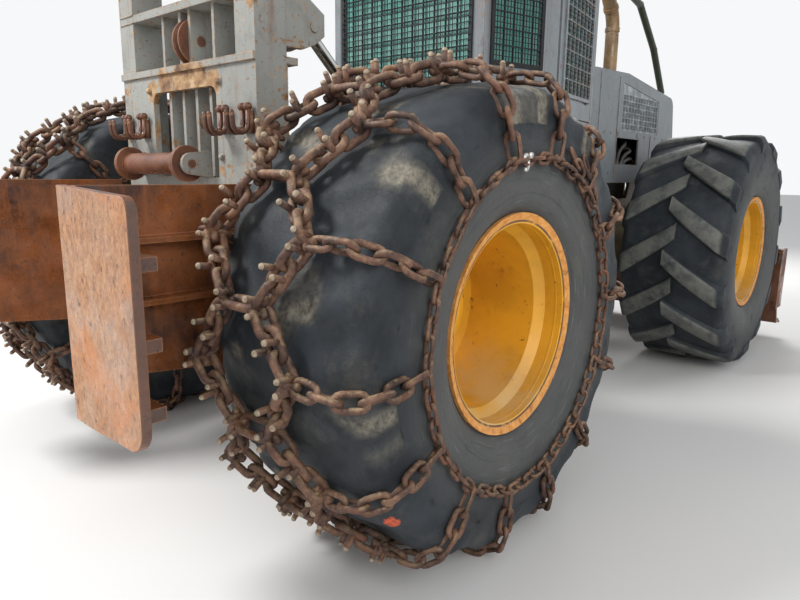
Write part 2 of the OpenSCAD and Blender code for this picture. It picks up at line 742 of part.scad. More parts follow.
module cab_shell() {
    color("#b9ab92") {
        // Lower walls
        difference() {
            box([cab_back, -610, 1270], [700, 610, cab_belt]);
            box([cab_back + cab_t, -610 + cab_t, 1310], [700 - cab_t, 610 - cab_t, cab_belt + 1]);
        }
        // Rear and front walls
        difference() {
            box([cab_back, -610, cab_belt - 1], [cab_back + cab_t, 610, cab_top]);
            box([cab_back - 1, -520, 2060], [cab_back + cab_t + 1, 520, pane_top]);
        }
        difference() {
            box([700 - cab_t, -640, cab_belt - 1], [700, 640, cab_top]);
            box([700 - cab_t - 1, -560, 2320], [701, 560, pane_top]);
        }
        both_sides() {
            // Quarter panel with its window
            in_wall(cab_plan[0], cab_plan[1]) difference() {
                box([0, -cab_t, cab_belt - 14], [wall_len(0), 0, cab_top]);
                box([70, -cab_t - 1, 2150], [wall_len(0) - 60, 1, pane_top]);
            }
            in_wall(cab_plan[1], cab_plan[2]) box([0, -cab_t, cab_belt - 17], [wall_len(1) - 20, 0, cab_top]);
            // Door's sill, header and front post
            in_wall(cab_plan[2], cab_plan[3]) {
                box([0, -cab_t, cab_belt - 20], [wall_len(2), 0, cab_belt]);
                box([0, -cab_t, door_top], [wall_len(2), 0, cab_top]);
                box([wall_len(2) - 40, -cab_t, cab_belt - 20], [wall_len(2), 0, cab_top]);
            }
            translate([cab_plan[0][0] + post_r, cab_plan[0][1] - post_r, cab_belt - 24])
                cylinder(h = cab_top - cab_belt + 24, r = post_r + 12, $fn = 12);
            translate([cab_plan[1][0], cab_plan[1][1] - post_r, cab_belt - 26])
                cylinder(h = cab_top - cab_belt + 26, r = post_r + 6, $fn = 12);
            // Shelf that widens the cab at its belt
            translate([0, 0, cab_belt - 33]) linear_extrude(31) polygon([
                [cab_back + 6, 575], [cab_back + 6, 615], [-200, 743], [-40, 748], [686, 644], [686, 575]
            ]);
        }
    }
}

module cab_roof() {
    color("#b9ab92") difference() {
        translate([0, 0, cab_top + seat_gap]) linear_extrude(90) polygon([
            [cab_back - 60, 560], [cab_back + 60, 700], [-200, 790], [-40, 790], [760, 690], [800, 620],
            [800, -620], [760, -690], [-40, -790], [-200, -790], [cab_back + 60, -700], [cab_back - 60, -560]
        ]);
        translate([0, 0, cab_top - 1]) linear_extrude(60) polygon([
            [cab_back + 80, 500], [-200, 620], [-40, 620], [600, 520], [600, -520], [-40, -620], [-200, -620], [cab_back + 80, -500]
        ]);
    }
}

glass_t = 8;

module cab_glass() {
    color("#2f5f58") {
        box([cab_back + 16, -520 + seat_gap, 2060 + seat_gap], [cab_back + 16 + glass_t, 520 - seat_gap, pane_top - seat_gap]);
        box([700 - 24, -560 + seat_gap, 2320 + seat_gap], [700 - 24 + glass_t, 560 - seat_gap, pane_top - seat_gap]);
        both_sides() in_wall(cab_plan[0], cab_plan[1])
            box([70 + seat_gap, -24, 2150 + seat_gap], [wall_len(0) - 60 - seat_gap, -24 + glass_t, pane_top - seat_gap]);
    }
}

// A guard of crossed bars in a frame, in a local X-Z plane
module guard(w, h, n, m) {
    t = 12;
    edge = 22;
    dx = (w - 2 * edge) / n;
    dz = (h - 2 * edge) / m;
    translate([0, t, 0]) rotate([90, 0, 0]) linear_extrude(t) difference() {
        square([w, h]);
        for (i = [0:n - 1], k = [0:m - 1]) {
            translate([edge + i * dx + 3, edge + k * dz + 3]) square([dx - 6, dz - 6]);
        }
    }
}

module cab_guards() {
    color("#23221f") {
        translate([cab_back - 12 - seat_gap, -535, 2020]) rotate([0, 0, 90]) translate([0, -12, 0]) guard(1070, door_top - 2020, 12, 9);
        both_sides() in_wall(cab_plan[0], cab_plan[1]) translate([50, seat_gap, 2120]) guard(wall_len(0) - 85, door_top - 2130, 5, 8);
        translate([700 + seat_gap + 12, -590, 2300]) rotate([0, 0, 90]) guard(1180, door_top - 2310, 12, 6);
    }
}

// A left door: its window is cut, its hinge is at the rear post
door_gap = move_gap;

module door() {
    len = wall_len(2) - 40 - 2 * door_gap;
    in_wall(cab_plan[2], cab_plan[3]) translate([door_gap, 0, 0]) difference() {
        box([0, -cab_t + 2, cab_belt + door_gap], [len, 0, door_top - door_gap]);
        translate([0, 1, 0]) rotate([90, 0, 0]) linear_extrude(cab_t + 2)
            polygon([[75, 2045], [len - 90, 1985], [len - 70, 2010], [len - 70, pane_top - 30], [75, pane_top - 30]]);
    }
    // Knuckles of the hinge
    in_wall(cab_plan[2], cab_plan[3]) for (z = [cab_belt + 90, door_top - 170]) {
        translate([4.26, 11.83, z]) cylinder(h = 80, r = 12);
        box([9, -2, z + 5], [60, 9, z + 75]);
    }
}

module door_guard() {
    len = wall_len(2) - 40 - 2 * door_gap;
    in_wall(cab_plan[2], cab_plan[3]) translate([door_gap + 62, seat_gap, 2000]) guard(len - 102, door_top - 2050, 7, 9);
}

module door_glass() {
    len = wall_len(2) - 40 - 2 * door_gap;
    in_wall(cab_plan[2], cab_plan[3]) translate([door_gap, -16, 0]) rotate([90, 0, 0]) linear_extrude(glass_t)
        polygon([[75 + seat_gap, 2045 + seat_gap], [len - 90, 1985 + seat_gap], [len - 70 - seat_gap, 2010],
            [len - 70 - seat_gap, pane_top - 30 - seat_gap], [75 + seat_gap, pane_top - 30 - seat_gap]]);
}

module seat() {
    color("#2d2c2a") {
        box([-380, -260, 1640], [120, 260, 1760]);
        plate_xz([[-380, 1760 - 1], [-250, 1760 - 1], [-330, 2330], [-430, 2330]], 0, 480);
        box([-280, -180, 1310 + seat_gap], [40, 180, 1641]);
    }
}

module controls() {
    color("#3a3936") {
        tube_bar([558, 0, 1319], [400, 0, 2010], 35);
        translate([400, 0, 2010]) rotate([0, -13, 0]) difference() {
            cylinder(h = 30, r = 190);
            translate([0, 0, -1]) cylinder(h = 40, r = 165);
            }
        translate([400, 0, 2010]) rotate([0, -13, 0]) translate([-175, -15, 5]) cube([350, 30, 14]);
        box([560, -480, 1310 + seat_gap], [700 - cab_t - seat_gap, 480, 2150]);
    }
}

module exhaust() {
    x = exhaust_at[0];
    y = exhaust_at[1];
    r = 55;
    bend = 250;
    lean = 40;
    color("#8a5a3c") {
        translate([x, y, 2260]) cylinder(h = 439, r = r);
        translate([x, y, 2260]) cylinder(h = 90, r = 80);
        translate([x, y, 2700]) rotate([90, 0, 0]) translate([-bend, 0, 0]) {
            rotate_extrude(angle = lean) translate([bend, 0]) circle(r);
            rotate(lean) translate([bend, 1, 0]) rotate([-90, 0, 0]) cylinder(h = 200, r = r);
            // Clamps at the ends of the bend
            for (a = [0, lean]) {
                rotate(a) translate([bend, -15, 0]) rotate([-90, 0, 0]) cylinder(h = 30, r = r + 7);
            }
        }
    }
}

module limb_risers() {
    r = 28;
    color("#33402f") both_sides() {
        pts = [[2300, 550, 2246], [2000, 560, 2580], [1600, 570, cab_top - 90], [804.5, 600, cab_top + 25]];
        for (i = [0:2]) {
            tube_bar(pts[i], pts[i + 1], r);
        }
        for (i = [1:2]) {
            translate(pts[i]) sphere(r + 2);
        }
    }
}

module side_tanks() {
    color("#b9ab92") {
        // Fuel tank on the left, tool box on the right, each with its steps
        for (s = [1, -1]) {
            scale_side(s) {
                plate_yz([[frame_half + seat_gap, 1180], [frame_half + seat_gap, 800], [640, 700], [760, 760], [760, 1180]], 375, 550);
                for (z = [520, 790, 1060]) {
                    box([200, 755, z], [560, 900, z + 25]);
                }
                box([190, 755, 500], [205, 890, 1090]);
                box([555, 755, 500], [570, 890, 1090]);
            }
        }
    }
}

module lamps() {
    color("#d8d4c8") for (p = [[cab_back - 91, -480, 180], [cab_back - 91, 480, 180], [831, -440, 0], [831, 440, 0]]) {
        translate([p[0], p[1], cab_top]) rotate([0, p[2] == 0 ? 90 : -90, 0]) cylinder(h = 60, r = 62, center = true);
    }
}

// Blade

module blade() {
    c = [blade_front + 520, 560];
    back = blade_front - 255;
    color("#7d4c2c") {
        // Mouldboard, hollow towards the front, and its edge
        translate([0, blade_half, 0]) rotate([90, 0, 0]) linear_extrude(2 * blade_half) difference() {
            translate(c) circle(790);
            translate(c) circle(762);
            translate([c[0] - 790, 850]) square([2000, 1000]);
            translate([c[0] - 790, -1000]) square([2000, 1150]);
            translate([blade_front - 60, -500]) square([2000, 2500]);
        }
        plate_xz([[blade_front - 152, 192], [blade_front - 135, 152], [blade_front, 130], [blade_front, 144], [blade_front - 100, 192]], 0, 2 * blade_half);
        plate_xz([[back + 15, 820], [back + 90, 850], [back + 110, 850], [back + 70, 820]], 0, 2 * blade_half);
        both_sides() {
            box([back, blade_half - 24, 300], [back + 200, blade_half, 850]);
            // Arms
            difference() {
                plate_xz(concat(arc([blade_x, blade_z], 75, 90, 270, 10), [[back - 10, 470], [back + 30, 470], [back + 30, 760], [back - 30, 760]]), frame_half + 95, 84);
                bar_y(blade_x, 300, 700, blade_z, blade_pin_r + run_gap);
            }
            clevis_xz(concat([[back + 5, 530], [back + 5, 710]], arc(lift_e, 55, 95, 265, 9)), lift_e, lift_y);
        }
        box([back - 20, -frame_half - 60, 560], [back + 40, frame_half + 60, 700]);
    }
}

function dist(a, b) = norm(b - a);

module tilt_barrel(s) {
    color("#8c8070") along_xz(tilt_a, tilt_e, s * tilt_y) barrel(dist(tilt_a, tilt_e) - 370, 250);
}

module tilt_rod(s) {
    color("#c9c8c4") along_xz(tilt_a, tilt_e, s * tilt_y) rod(dist(tilt_a, tilt_e), 260, eye_play);
}

module lift_barrel(s) {
    color("#8c8070") along_xz(lift_a, lift_e, s * lift_y) barrel(660, 110);
}

module lift_rod(s) {
    color("#c9c8c4") along_xz(lift_a, lift_e, s * lift_y) rod(dist(lift_a, lift_e), 400, eye_play);
}

module helm_barrel(s) {
    color("#8c8070") along_xy([helm_a[0], s * helm_a[1]], [helm_e[0], s * helm_e[1]], helm_z) barrel(480, 120);
}

module helm_rod(s) {
    color("#c9c8c4") along_xy([helm_a[0], s * helm_a[1]], [helm_e[0], s * helm_e[1]], helm_z) rod(dist(helm_a, helm_e), 300, 0);
}

rear_frame();
rear_axle();
winch();
winch_drum();
arch();
arch_sheave();
fairlead_roller();
choker_hooks();
butt_plate();
front_frame();
front_axle();
engine();
hood();
hood_grilles();
cab_shell();
cab_roof();
cab_glass();
cab_guards();
color("#b9ab92") { door(); door_guard(); }  // door_left
color("#b9ab92") mirror([0, 1, 0]) { door(); door_guard(); }  // door_right
color("#2f5f58") door_glass();  // door_glass_left
color("#2f5f58") mirror([0, 1, 0]) door_glass();  // door_glass_right
seat();
controls();
exhaust();
limb_risers();
side_tanks();
lamps();
blade();
color("#26241f") at_wheel(axle_x, 1) front_tyre();  // tyre_front_left
color("#26241f") at_wheel(axle_x, -1) front_tyre();  // tyre_front_right
color("#26241f") at_wheel(-axle_x, 1) tyre(worn_r);  // tyre_rear_left
color("#26241f") at_wheel(-axle_x, -1) tyre(worn_r);  // tyre_rear_right
color("#d8a520") at_wheel(axle_x, 1) rim();  // rim_front_left
color("#d8a520") at_wheel(axle_x, -1) rim();  // rim_front_right
color("#d8a520") at_wheel(-axle_x, 1) rim();  // rim_rear_left
color("#d8a520") at_wheel(-axle_x, -1) rim();  // rim_rear_right
color("#6e4127") at_wheel(-axle_x, 1) tyre_chain();  // chain_left
color("#6e4127") at_wheel(-axle_x, -1) tyre_chain();  // chain_right
tilt_barrel(1);  // tilt_barrel_left
tilt_barrel(-1);  // tilt_barrel_right
tilt_rod(1);  // tilt_rod_left
tilt_rod(-1);  // tilt_rod_right
lift_barrel(1);  // lift_barrel_left
lift_barrel(-1);  // lift_barrel_right
lift_rod(1);  // lift_rod_left
lift_rod(-1);  // lift_rod_right
helm_barrel(1);  // helm_barrel_left
helm_barrel(-1);  // helm_barrel_right
helm_rod(1);  // helm_rod_left
helm_rod(-1);  // helm_rod_right
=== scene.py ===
"""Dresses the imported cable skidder: materials, tyres and their chains, wire guards and small fittings."""

import json
import math
import random

import bpy
from mathutils import Matrix, Vector, noise

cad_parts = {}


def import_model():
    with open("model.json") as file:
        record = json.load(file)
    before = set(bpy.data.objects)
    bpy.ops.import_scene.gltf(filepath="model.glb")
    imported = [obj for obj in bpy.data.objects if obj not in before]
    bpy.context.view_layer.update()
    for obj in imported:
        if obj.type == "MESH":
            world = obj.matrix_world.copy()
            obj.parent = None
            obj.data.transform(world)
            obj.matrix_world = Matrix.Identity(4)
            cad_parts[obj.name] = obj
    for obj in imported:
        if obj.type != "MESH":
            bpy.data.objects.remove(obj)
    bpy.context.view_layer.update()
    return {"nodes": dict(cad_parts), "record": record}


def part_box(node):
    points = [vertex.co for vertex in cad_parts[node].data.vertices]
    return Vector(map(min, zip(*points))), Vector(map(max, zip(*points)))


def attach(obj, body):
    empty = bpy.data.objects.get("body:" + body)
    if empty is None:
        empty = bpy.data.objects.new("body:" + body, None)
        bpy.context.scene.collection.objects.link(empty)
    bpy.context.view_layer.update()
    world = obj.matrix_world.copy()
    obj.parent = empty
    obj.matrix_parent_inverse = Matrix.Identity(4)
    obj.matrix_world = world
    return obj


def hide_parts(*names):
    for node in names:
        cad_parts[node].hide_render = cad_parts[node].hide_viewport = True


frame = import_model()
JOINTS = {j["name"]: j for j in frame["record"]["behaviour"]["joints"]}
SIDES = ("left", "right")


# ---- colours and shader helper

def lin(colour):
    """A linear colour from an sRGB hex text; anything else stays as it is."""
    if not isinstance(colour, str):
        return colour
    c = [int(colour[i:i + 2], 16) / 255 for i in (0, 2, 4)]
    return tuple(v / 12.92 if v <= 0.04045 else ((v + 0.055) / 1.055) ** 2.4 for v in c) + (1.0,)


def scaled(colour, k):
    return tuple(min(1.0, c * k) for c in lin(colour)[:3]) + (1.0,)


RUST_DARK, RUST_MID, RUST_PALE = RUST = ("3a2318", "7a4526", "b07a50")
TAN_RUST = ("5a4130", "94724f", "bba07c")
SAND = "b9a98a"
GRIME = "4b4137"


class Shader:
    """A principled material put together from noise masks in object coordinates."""

    def __init__(self, name, centre=(0, 0, 0)):
        self.mat = bpy.data.materials.new(name)
        self.mat.use_nodes = True
        self.tree = self.mat.node_tree
        self.tree.nodes.clear()
        out = self.node("OutputMaterial")
        self.bsdf = self.node("BsdfPrincipled")
        self.tree.links.new(self.bsdf.outputs[0], out.inputs[0])
        self.place = self.node("TexCoord").outputs["Object"]
        self.coord = self.mapped(self.place, (1, 1, 1), centre)

    def node(self, kind):
        return self.tree.nodes.new("ShaderNode" + kind)

    def link(self, a, b):
        """Feeds input b from a socket, a number, a colour or a hex text."""
        if isinstance(a, bpy.types.NodeSocket):
            self.tree.links.new(a, b)
        else:
            b.default_value = lin(a)

    def mapped(self, vector, scale, centre=(0, 0, 0)):
        n = self.node("Mapping")
        self.link(vector, n.inputs["Vector"])
        n.inputs["Location"].default_value = tuple(-centre[i] * scale[i] for i in range(3))
        n.inputs["Scale"].default_value = scale
        return n.outputs[0]

    def noise(self, scale, detail=4.0, rough=0.55, stretch=None, vector=None):
        if vector is None:
            vector = self.mapped(self.coord, stretch) if stretch else self.coord
        n = self.node("TexNoise")
        for key, value in (("Vector", vector), ("Scale", scale), ("Detail", detail), ("Roughness", rough)):
            self.link(value, n.inputs[key])
        return n.outputs["Fac"]

    def blots(self, scale, detail, rough, low, high, top=1.0, stretch=None):
        """Noise cut to blots, which rise from 0 to top where the noise goes from low to high."""
        return self.step(self.noise(scale, detail, rough, stretch), low, high, top)

    def radius(self):
        """Distance from the Y axis through the material's centre."""
        x, z = self.axis(0, "Object"), self.axis(2, "Object")
        return self.math("SQRT", self.add(self.mul(x, x), self.mul(z, z)))

    def rings(self, across, along, low, high, top):
        """Blots drawn out round the Y axis through the material's centre."""
        angle = self.math("ARCTAN2", self.axis(2, "Object"), self.axis(0, "Object"))
        c = self.node("CombineXYZ")
        self.link(self.mul(self.radius(), across), c.inputs[0])
        self.link(self.mul(angle, along), c.inputs[1])
        return self.step(self.noise(1.0, 6.0, 0.7, vector=c.outputs[0]), low, high, top)

    def near(self, place, reach):
        """1 close to a place in the machine's frame, with a ragged edge."""
        d = self.node("VectorMath")
        d.operation = "DISTANCE"
        self.link(self.place, d.inputs[0])
        d.inputs[1].default_value = place
        ragged = self.add(d.outputs["Value"], self.mul(self.noise(22, 9, 0.8), reach * 2.4))
        return self.step(ragged, reach * 2.15, reach * 1.95)

    def cracks(self, scale):
        """1 along the borders of cells."""
        n = self.node("TexVoronoi")
        n.feature = "DISTANCE_TO_EDGE"
        self.link(self.coord, n.inputs["Vector"])
        n.inputs["Scale"].default_value = scale
        return self.math("SUBTRACT", 1.0, self.step(n.outputs["Distance"], 0.0, 0.05))

    def step(self, value, low, high, top=1.0):
        n = self.node("MapRange")
        n.interpolation_type = "SMOOTHSTEP"
        for i, v in enumerate((value, low, high, 0.0, top)):
            self.link(v, n.inputs[i])
        return n.outputs[0]

    def math(self, op, a, b=0.0):
        n = self.node("Math")
        n.operation = op
        self.link(a, n.inputs[0])
        self.link(b, n.inputs[1])
        return n.outputs[0]

    def mul(self, a, b):
        return self.math("MULTIPLY", a, b)

    def add(self, a, b):
        return self.math("ADD", a, b)

    def peak(self, a, b):
        return self.math("MAXIMUM", a, b)

    def mix(self, fac, a, b):
        n = self.node("Mix")
        n.data_type = "RGBA"
        for i, v in ((0, fac), (6, a), (7, b)):
            self.link(v, n.inputs[i])
        return n.outputs[2]

    def ramp(self, fac, *stops):
        n = self.node("ValToRGB")
        while len(n.color_ramp.elements) < len(stops):
            n.color_ramp.elements.new(0.5)
        for e, (pos, colour) in zip(n.color_ramp.elements, stops):
            e.position = pos
            e.color = lin(colour)
        self.link(fac, n.inputs[0])
        return n.outputs[0]

    def rounded(self, radius):
        """A normal that rounds the corners of plain plates."""
        bevel = self.node("Bevel")
        bevel.samples = 4
        bevel.inputs["Radius"].default_value = radius
        return bevel.outputs[0]

    def edges(self, radius):
        """1 where the surface turns a corner, from the difference of the rounded and the plain normal."""
        dot = self.node("VectorMath")
        dot.operation = "DOT_PRODUCT"
        self.link(self.rounded(radius), dot.inputs[0])
        self.link(self.node("NewGeometry").outputs["Normal"], dot.inputs[1])
        return self.step(self.math("SUBTRACT", 1.0, dot.outputs["Value"]), 0.01, 0.22)

    def axis(self, which, of="Normal"):
        """One component of the normal, or of the object coordinates."""
        n = self.node("SeparateXYZ")
        self.link(self.node("NewGeometry").outputs["Normal"] if of == "Normal" else self.coord, n.inputs[0])
        return n.outputs[which]

    def attribute(self, name):
        n = self.node("Attribute")
        n.attribute_name = name
        return n.outputs["Fac"]

    def bump(self, height, strength, distance, under=None):
        n = self.node("Bump")
        self.link(height, n.inputs["Height"])
        n.inputs["Strength"].default_value = strength
        n.inputs["Distance"].default_value = distance
        if under is not None:
            self.link(under, n.inputs["Normal"])
        return n.outputs[0]

    def done(self, colour, rough, normal=None, metal=0.0, specular=0.5, alpha=1.0):
        for key, value in (("Base Color", colour), ("Roughness", rough), ("Metallic", metal),
                           ("Specular IOR Level", specular), ("Alpha", alpha)):
            self.link(value, self.bsdf.inputs[key])
        if normal is not None:
            self.link(normal, self.bsdf.inputs["Normal"])
        return self.mat


def rust_colour(s, scale=14.0, tones=RUST):
    return s.ramp(s.noise(scale, 8, 0.7), (0.34, tones[0]), (0.5, tones[1]), (0.66, tones[2]))


def painted(name, base, rust=0.5, dust=0.5, gloss=0.42, edge=0.012, bare=(), tones=RUST, speck=52):
    """Old paint: blotched tone, vertical dirt, rust at edges, in specks and at bare places, dust on top."""
    s = Shader(name)
    col = s.mix(s.blots(1.6, 4, 0.55, 0.35, 0.65), scaled(base, 0.86), scaled(base, 1.06))
    col = s.mix(s.blots(9, 8, 0.7, 0.5, 0.78, 0.45), col, GRIME)
    streak = s.blots(2.2, 7, 0.65, 0.52, 0.76, 0.35 + 0.4 * rust, (9, 9, 0.7))
    col = s.mix(streak, col, scaled(RUST_MID, 0.9))
    corner = s.mul(s.edges(edge), s.blots(24, 6, 0.7, 0.42, 0.62))
    patch = s.blots(4.2, 11, 0.72, 0.69 - 0.12 * rust, 0.73 - 0.12 * rust)
    chips = s.blots(speck, 5, 0.6, 0.655 - 0.05 * rust, 0.69 - 0.05 * rust)
    worn = s.peak(s.peak(corner, patch), chips)
    for place, reach in bare:
        worn = s.peak(worn, s.near(place, reach))
    col = s.mix(worn, col, rust_colour(s, tones=tones))
    top = s.mul(s.step(s.axis(2), 0.5, 0.95), s.blots(6, 6, 0.6, 0.35, 0.7, dust))
    col = s.mix(top, col, SAND)
    rough = s.peak(s.step(worn, 0.0, 1.0, 0.85), s.blots(5, 5, 0.55, 0.2, 0.8, gloss + 0.12))
    height = s.add(s.mul(worn, -0.6), s.mul(s.noise(120, 4), 0.25))
    return s.done(col, s.peak(rough, gloss), s.bump(height, 0.5, 0.002, s.rounded(0.004)))


def rusted(name, tint, dark=RUST_DARK, worn=0.4, stretch=(6, 6, 0.5), bump=0.6, pale_behind=0.0):
    """Bare steel under rust: streaks down the plate, darker pits and rubbed pale places.

    Where -X is past pale_behind, faces that look back are paler, with fine streaks, partly from rubbing and
    partly as painted sunlight, and side faces are darker as painted shade.
    """
    s = Shader(name)
    col = s.ramp(s.noise(3.1, 10, 0.68), (0.36, dark), (0.46, scaled(tint, 0.66)), (0.55, tint),
                 (0.68, scaled(tint, 1.4)))
    col = s.mix(s.blots(3.0, 8, 0.7, 0.45, 0.75, 0.7, stretch), col, scaled(tint, 1.25))
    pits = s.blots(60, 6, 0.7, 0.55, 0.68, 0.7)
    col = s.mix(pits, col, dark)
    if pale_behind:
        behind = s.step(s.mul(s.axis(0, "Object"), -1.0), pale_behind, pale_behind + 0.02)
        # Faces that look back take paler fine-streaked rust: partly rubbed wear and partly painted sunlight.
        back_wear_and_light = s.mul(behind, s.step(s.mul(s.axis(0), -1.0), 0.6, 0.9))
        fine = s.ramp(s.noise(30.0, 12, 0.82, (1, 1.8, 1)), (0.36, "7a533b"), (0.46, "9a6e4f"),
                      (0.54, "ad805c"), (0.66, "bd9672"))
        fine = s.mix(s.blots(3.2, 8, 0.7, 0.5, 0.62, 0.5), fine, "bd7238")
        fine = s.mix(s.blots(3.9, 8, 0.7, 0.54, 0.68, 0.5, (1, 1, 0.6)), fine, "8d8079")
        fine = s.mix(s.blots(42, 6, 0.7, 0.58, 0.64, 0.8, (1, 1, 0.5)), fine, "4a3027")
        col = s.mix(back_wear_and_light, col, fine)
        # Side faces there are darkened to 4b4442 as painted shade.
        painted_side_shade = s.step(s.math("ABSOLUTE", s.axis(1)), 0.5, 0.9, 0.7)
        col = s.mix(s.mul(behind, painted_side_shade), col, "4b4442")
    rub = s.mul(s.blots(5.5, 9, 0.75, 0.6, 0.72, worn), s.blots(70, 3, 0.55, 0.3, 0.6))
    col = s.mix(rub, col, "8f8a84")
    col = s.mix(s.mul(s.edges(0.008), 0.6), col, scaled(RUST_PALE, 1.1))
    height = s.add(s.noise(34, 9, 0.72), s.mul(pits, -0.4))
    rough = s.blots(8, 6, 0.55, 0.2, 0.8, 0.9)
    return s.done(col, rough, s.bump(height, bump, 0.004), metal=s.mul(rub, 0.7))


def rim_paint(name, centre, flange_r):
    """Amber paint with a rust-pale flange, a dark line of painted shade in the groove inside it, dust and stains
    in the dish.
    """
    s = Shader(name, centre)
    col = s.mix(s.blots(3, 5, 0.55, 0.35, 0.65), scaled("dca22a", 0.86), scaled("dca22a", 1.1))
    col = s.mix(s.blots(4.5, 9, 0.75, 0.54, 0.75, 0.6), col, "9a6420")
    col = s.mix(s.blots(30, 7, 0.7, 0.62, 0.68, 0.9), col, rust_colour(s, 22))
    low = s.step(s.mul(s.axis(2, "Object"), -1.0), 0.08, 0.38)
    col = s.mix(s.mul(low, s.blots(5, 7, 0.7, 0.32, 0.66, 0.75)), col, "cfb07a")
    radius = s.radius()
    flange = s.step(radius, flange_r - 0.030, flange_r - 0.026)
    rubbed = s.ramp(s.noise(22, 8, 0.75), (0.34, "5f3618"), (0.44, "c47f3c"), (0.6, "e0a05a"), (0.8, "ecb478"))
    col = s.mix(s.mul(flange, 0.9), col, rubbed)
    # A dark ring just inside the flange: painted shade in the lock ring's groove.
    groove_shade = s.mul(s.step(radius, flange_r - 0.038, flange_r - 0.034),
                 s.step(radius, flange_r - 0.026, flange_r - 0.030))
    col = s.mix(s.mul(groove_shade, s.blots(9, 8, 0.7, 0.3, 0.5)), col, "5a3416")
    return s.done(col, s.peak(s.step(flange, 0, 1, 0.7), 0.42), s.bump(s.noise(46, 8, 0.7), 0.18, 0.002))


def rubber(name, end, torn=False, spot=None):
    """Weathered tyre rubber: walls scuffed in rings, dry lug tops or torn patches, fine cracks."""
    at = JOINTS[f"wheel_{end}_left_spin"]["pos_m"]
    s = Shader(name, (at[0], 0.0, at[2]))
    radius = s.radius()
    col = s.mix(s.blots(2.4, 6, 0.6, 0.35, 0.65), "1e2226", "32373c")
    col = s.mix(s.blots(7, 9, 0.75, 0.48, 0.72, 0.5), col, "4a4c4c")
    col = s.mix(s.blots(3.6, 9, 0.72, 0.52, 0.76, 0.3), col, "6a6458")
    wall = s.step(radius, 0.80, 0.52)
    col = s.mix(s.mul(wall, 0.6), col, "5e5e5b")
    col = s.mix(s.mul(wall, s.rings(70, 1.6, 0.5, 0.68, 0.65)), col, "33373c")
    col = s.mix(s.mul(wall, s.rings(120, 2.6, 0.56, 0.72, 0.5)), col, "8b8f90")
    height = s.add(s.mul(s.cracks(26), -0.25), s.noise(70, 7, 0.7))
    if torn:
        tear = s.attribute("torn")
        col = s.mix(tear, col, s.ramp(s.noise(40, 6, 0.7), (0.3, "34322f"), (0.7, "8d8677")))
        height = s.add(height, s.mul(s.mul(tear, s.noise(45, 9, 0.8)), 3.0))
    else:
        lo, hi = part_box(f"tyre_{end}_left")
        crown = (hi[2] - lo[2]) / 2
        tops = s.mul(s.step(radius, crown - 0.030, crown - 0.016), s.blots(8, 7, 0.7, 0.25, 0.6))
        col = s.mix(s.mul(tops, 0.85), col, s.mix(s.noise(26, 6, 0.7), "5e5f5b", "7d7c74"))
    if spot:
        col = s.mix(s.near(spot, 0.037), col, s.mix(s.blots(60, 6, 0.7, 0.4, 0.6), "9c4a35", "cf5c3c"))
    rough = s.peak(s.blots(9, 5, 0.55, 0.1, 0.9, 0.95), 0.6)
    return s.done(col, rough, s.bump(height, 0.45, 0.003), specular=0.25)


def chain_rust(name, base):
    """Brown chain steel, tan on faces that look up as a painted highlight, with bright worn ends on its pegs."""
    s = Shader(name)
    col = s.ramp(s.noise(11, 9, 0.7), (0.36, "30221e"), (0.46, "50382d"), (0.55, base), (0.68, "8f6f56"))
    col = s.mix(s.blots(55, 6, 0.7, 0.52, 0.66, 0.6), col, "35241e")
    col = s.mix(s.blots(4, 5, 0.6, 0.52, 0.68, 0.4), col, "7a4a31")
    # Tan blots on faces that look up: a painted highlight.
    col = s.mix(s.mul(s.blots(24, 8, 0.75, 0.44, 0.6, 0.55), s.step(s.axis(2), 0.0, 0.95)), col, "a99270")
    bright = s.ramp(s.noise(60, 4, 0.6), (0.35, "8a7860"), (0.65, "bdb09a"))
    col = s.mix(s.mul(s.attribute("worn"), 0.7), col, bright)
    return s.done(col, 0.66, s.bump(s.noise(130, 6, 0.7), 0.5, 0.0015), metal=0.12)


def plain_steel(name, base, rough=0.3, metal=1.0, dirt=0.4):
    s = Shader(name)
    col = s.mix(s.blots(14, 8, 0.7, 0.5, 0.75, dirt), base, GRIME)
    dull = s.peak(s.blots(20, 6, 0.55, 0.3, 0.8, rough + 0.25), rough)
    return s.done(col, dull, s.bump(s.noise(90, 5), 0.12, 0.001), metal=metal)


def dusty_cast(name, base):
    s = Shader(name)
    col = s.mix(s.blots(5, 9, 0.7, 0.4, 0.7), base, GRIME)
    col = s.mix(s.step(s.axis(2), 0.2, 0.9, 0.6), col, SAND)
    col = s.mix(s.blots(17, 8, 0.7, 0.58, 0.68, 0.8), col, rust_colour(s))
    return s.done(col, 0.82, s.bump(s.noise(48, 9, 0.75), 0.6, 0.004))


def tinted_glass(name, base):
    s = Shader(name)
    # Pale teal blots over the glass: painted reflections.
    col = s.mix(s.blots(1.4, 4, 0.6, 0.35, 0.7, 0.7), base, "a8d2c4")
    return s.done(col, s.blots(10, 8, 0.7, 0.4, 0.8, 0.35), specular=0.7, alpha=0.9)


def trim(name, base, weave=0.0):
    s = Shader(name)
    col = s.mix(s.blots(18, 7, 0.55, 0.4, 0.7), base, scaled(base, 1.8))
    return s.done(col, 0.8, s.bump(s.noise(240 if weave else 120, 4), 0.3 + weave, 0.001))


def lens(name, base):
    s = Shader(name)
    col = s.mix(s.blots(30, 5, 0.55, 0.4, 0.7, 0.4), base, "9c988a")
    return s.done(col, 0.15, s.bump(s.noise(60, 2, stretch=(1, 8, 1)), 0.3, 0.002), specular=0.8)


ARCH_BACK = -2.226  # the arch's rear face
# Where the arch has lost its paint: Y, Z and reach
ARCH_BARE = ((0.02, 1.905, 0.085), (0.15, 1.900, 0.08), (-0.14, 1.905, 0.085), (-0.25, 1.885, 0.07),
             (0.27, 1.875, 0.06), (-0.05, 1.930, 0.08))
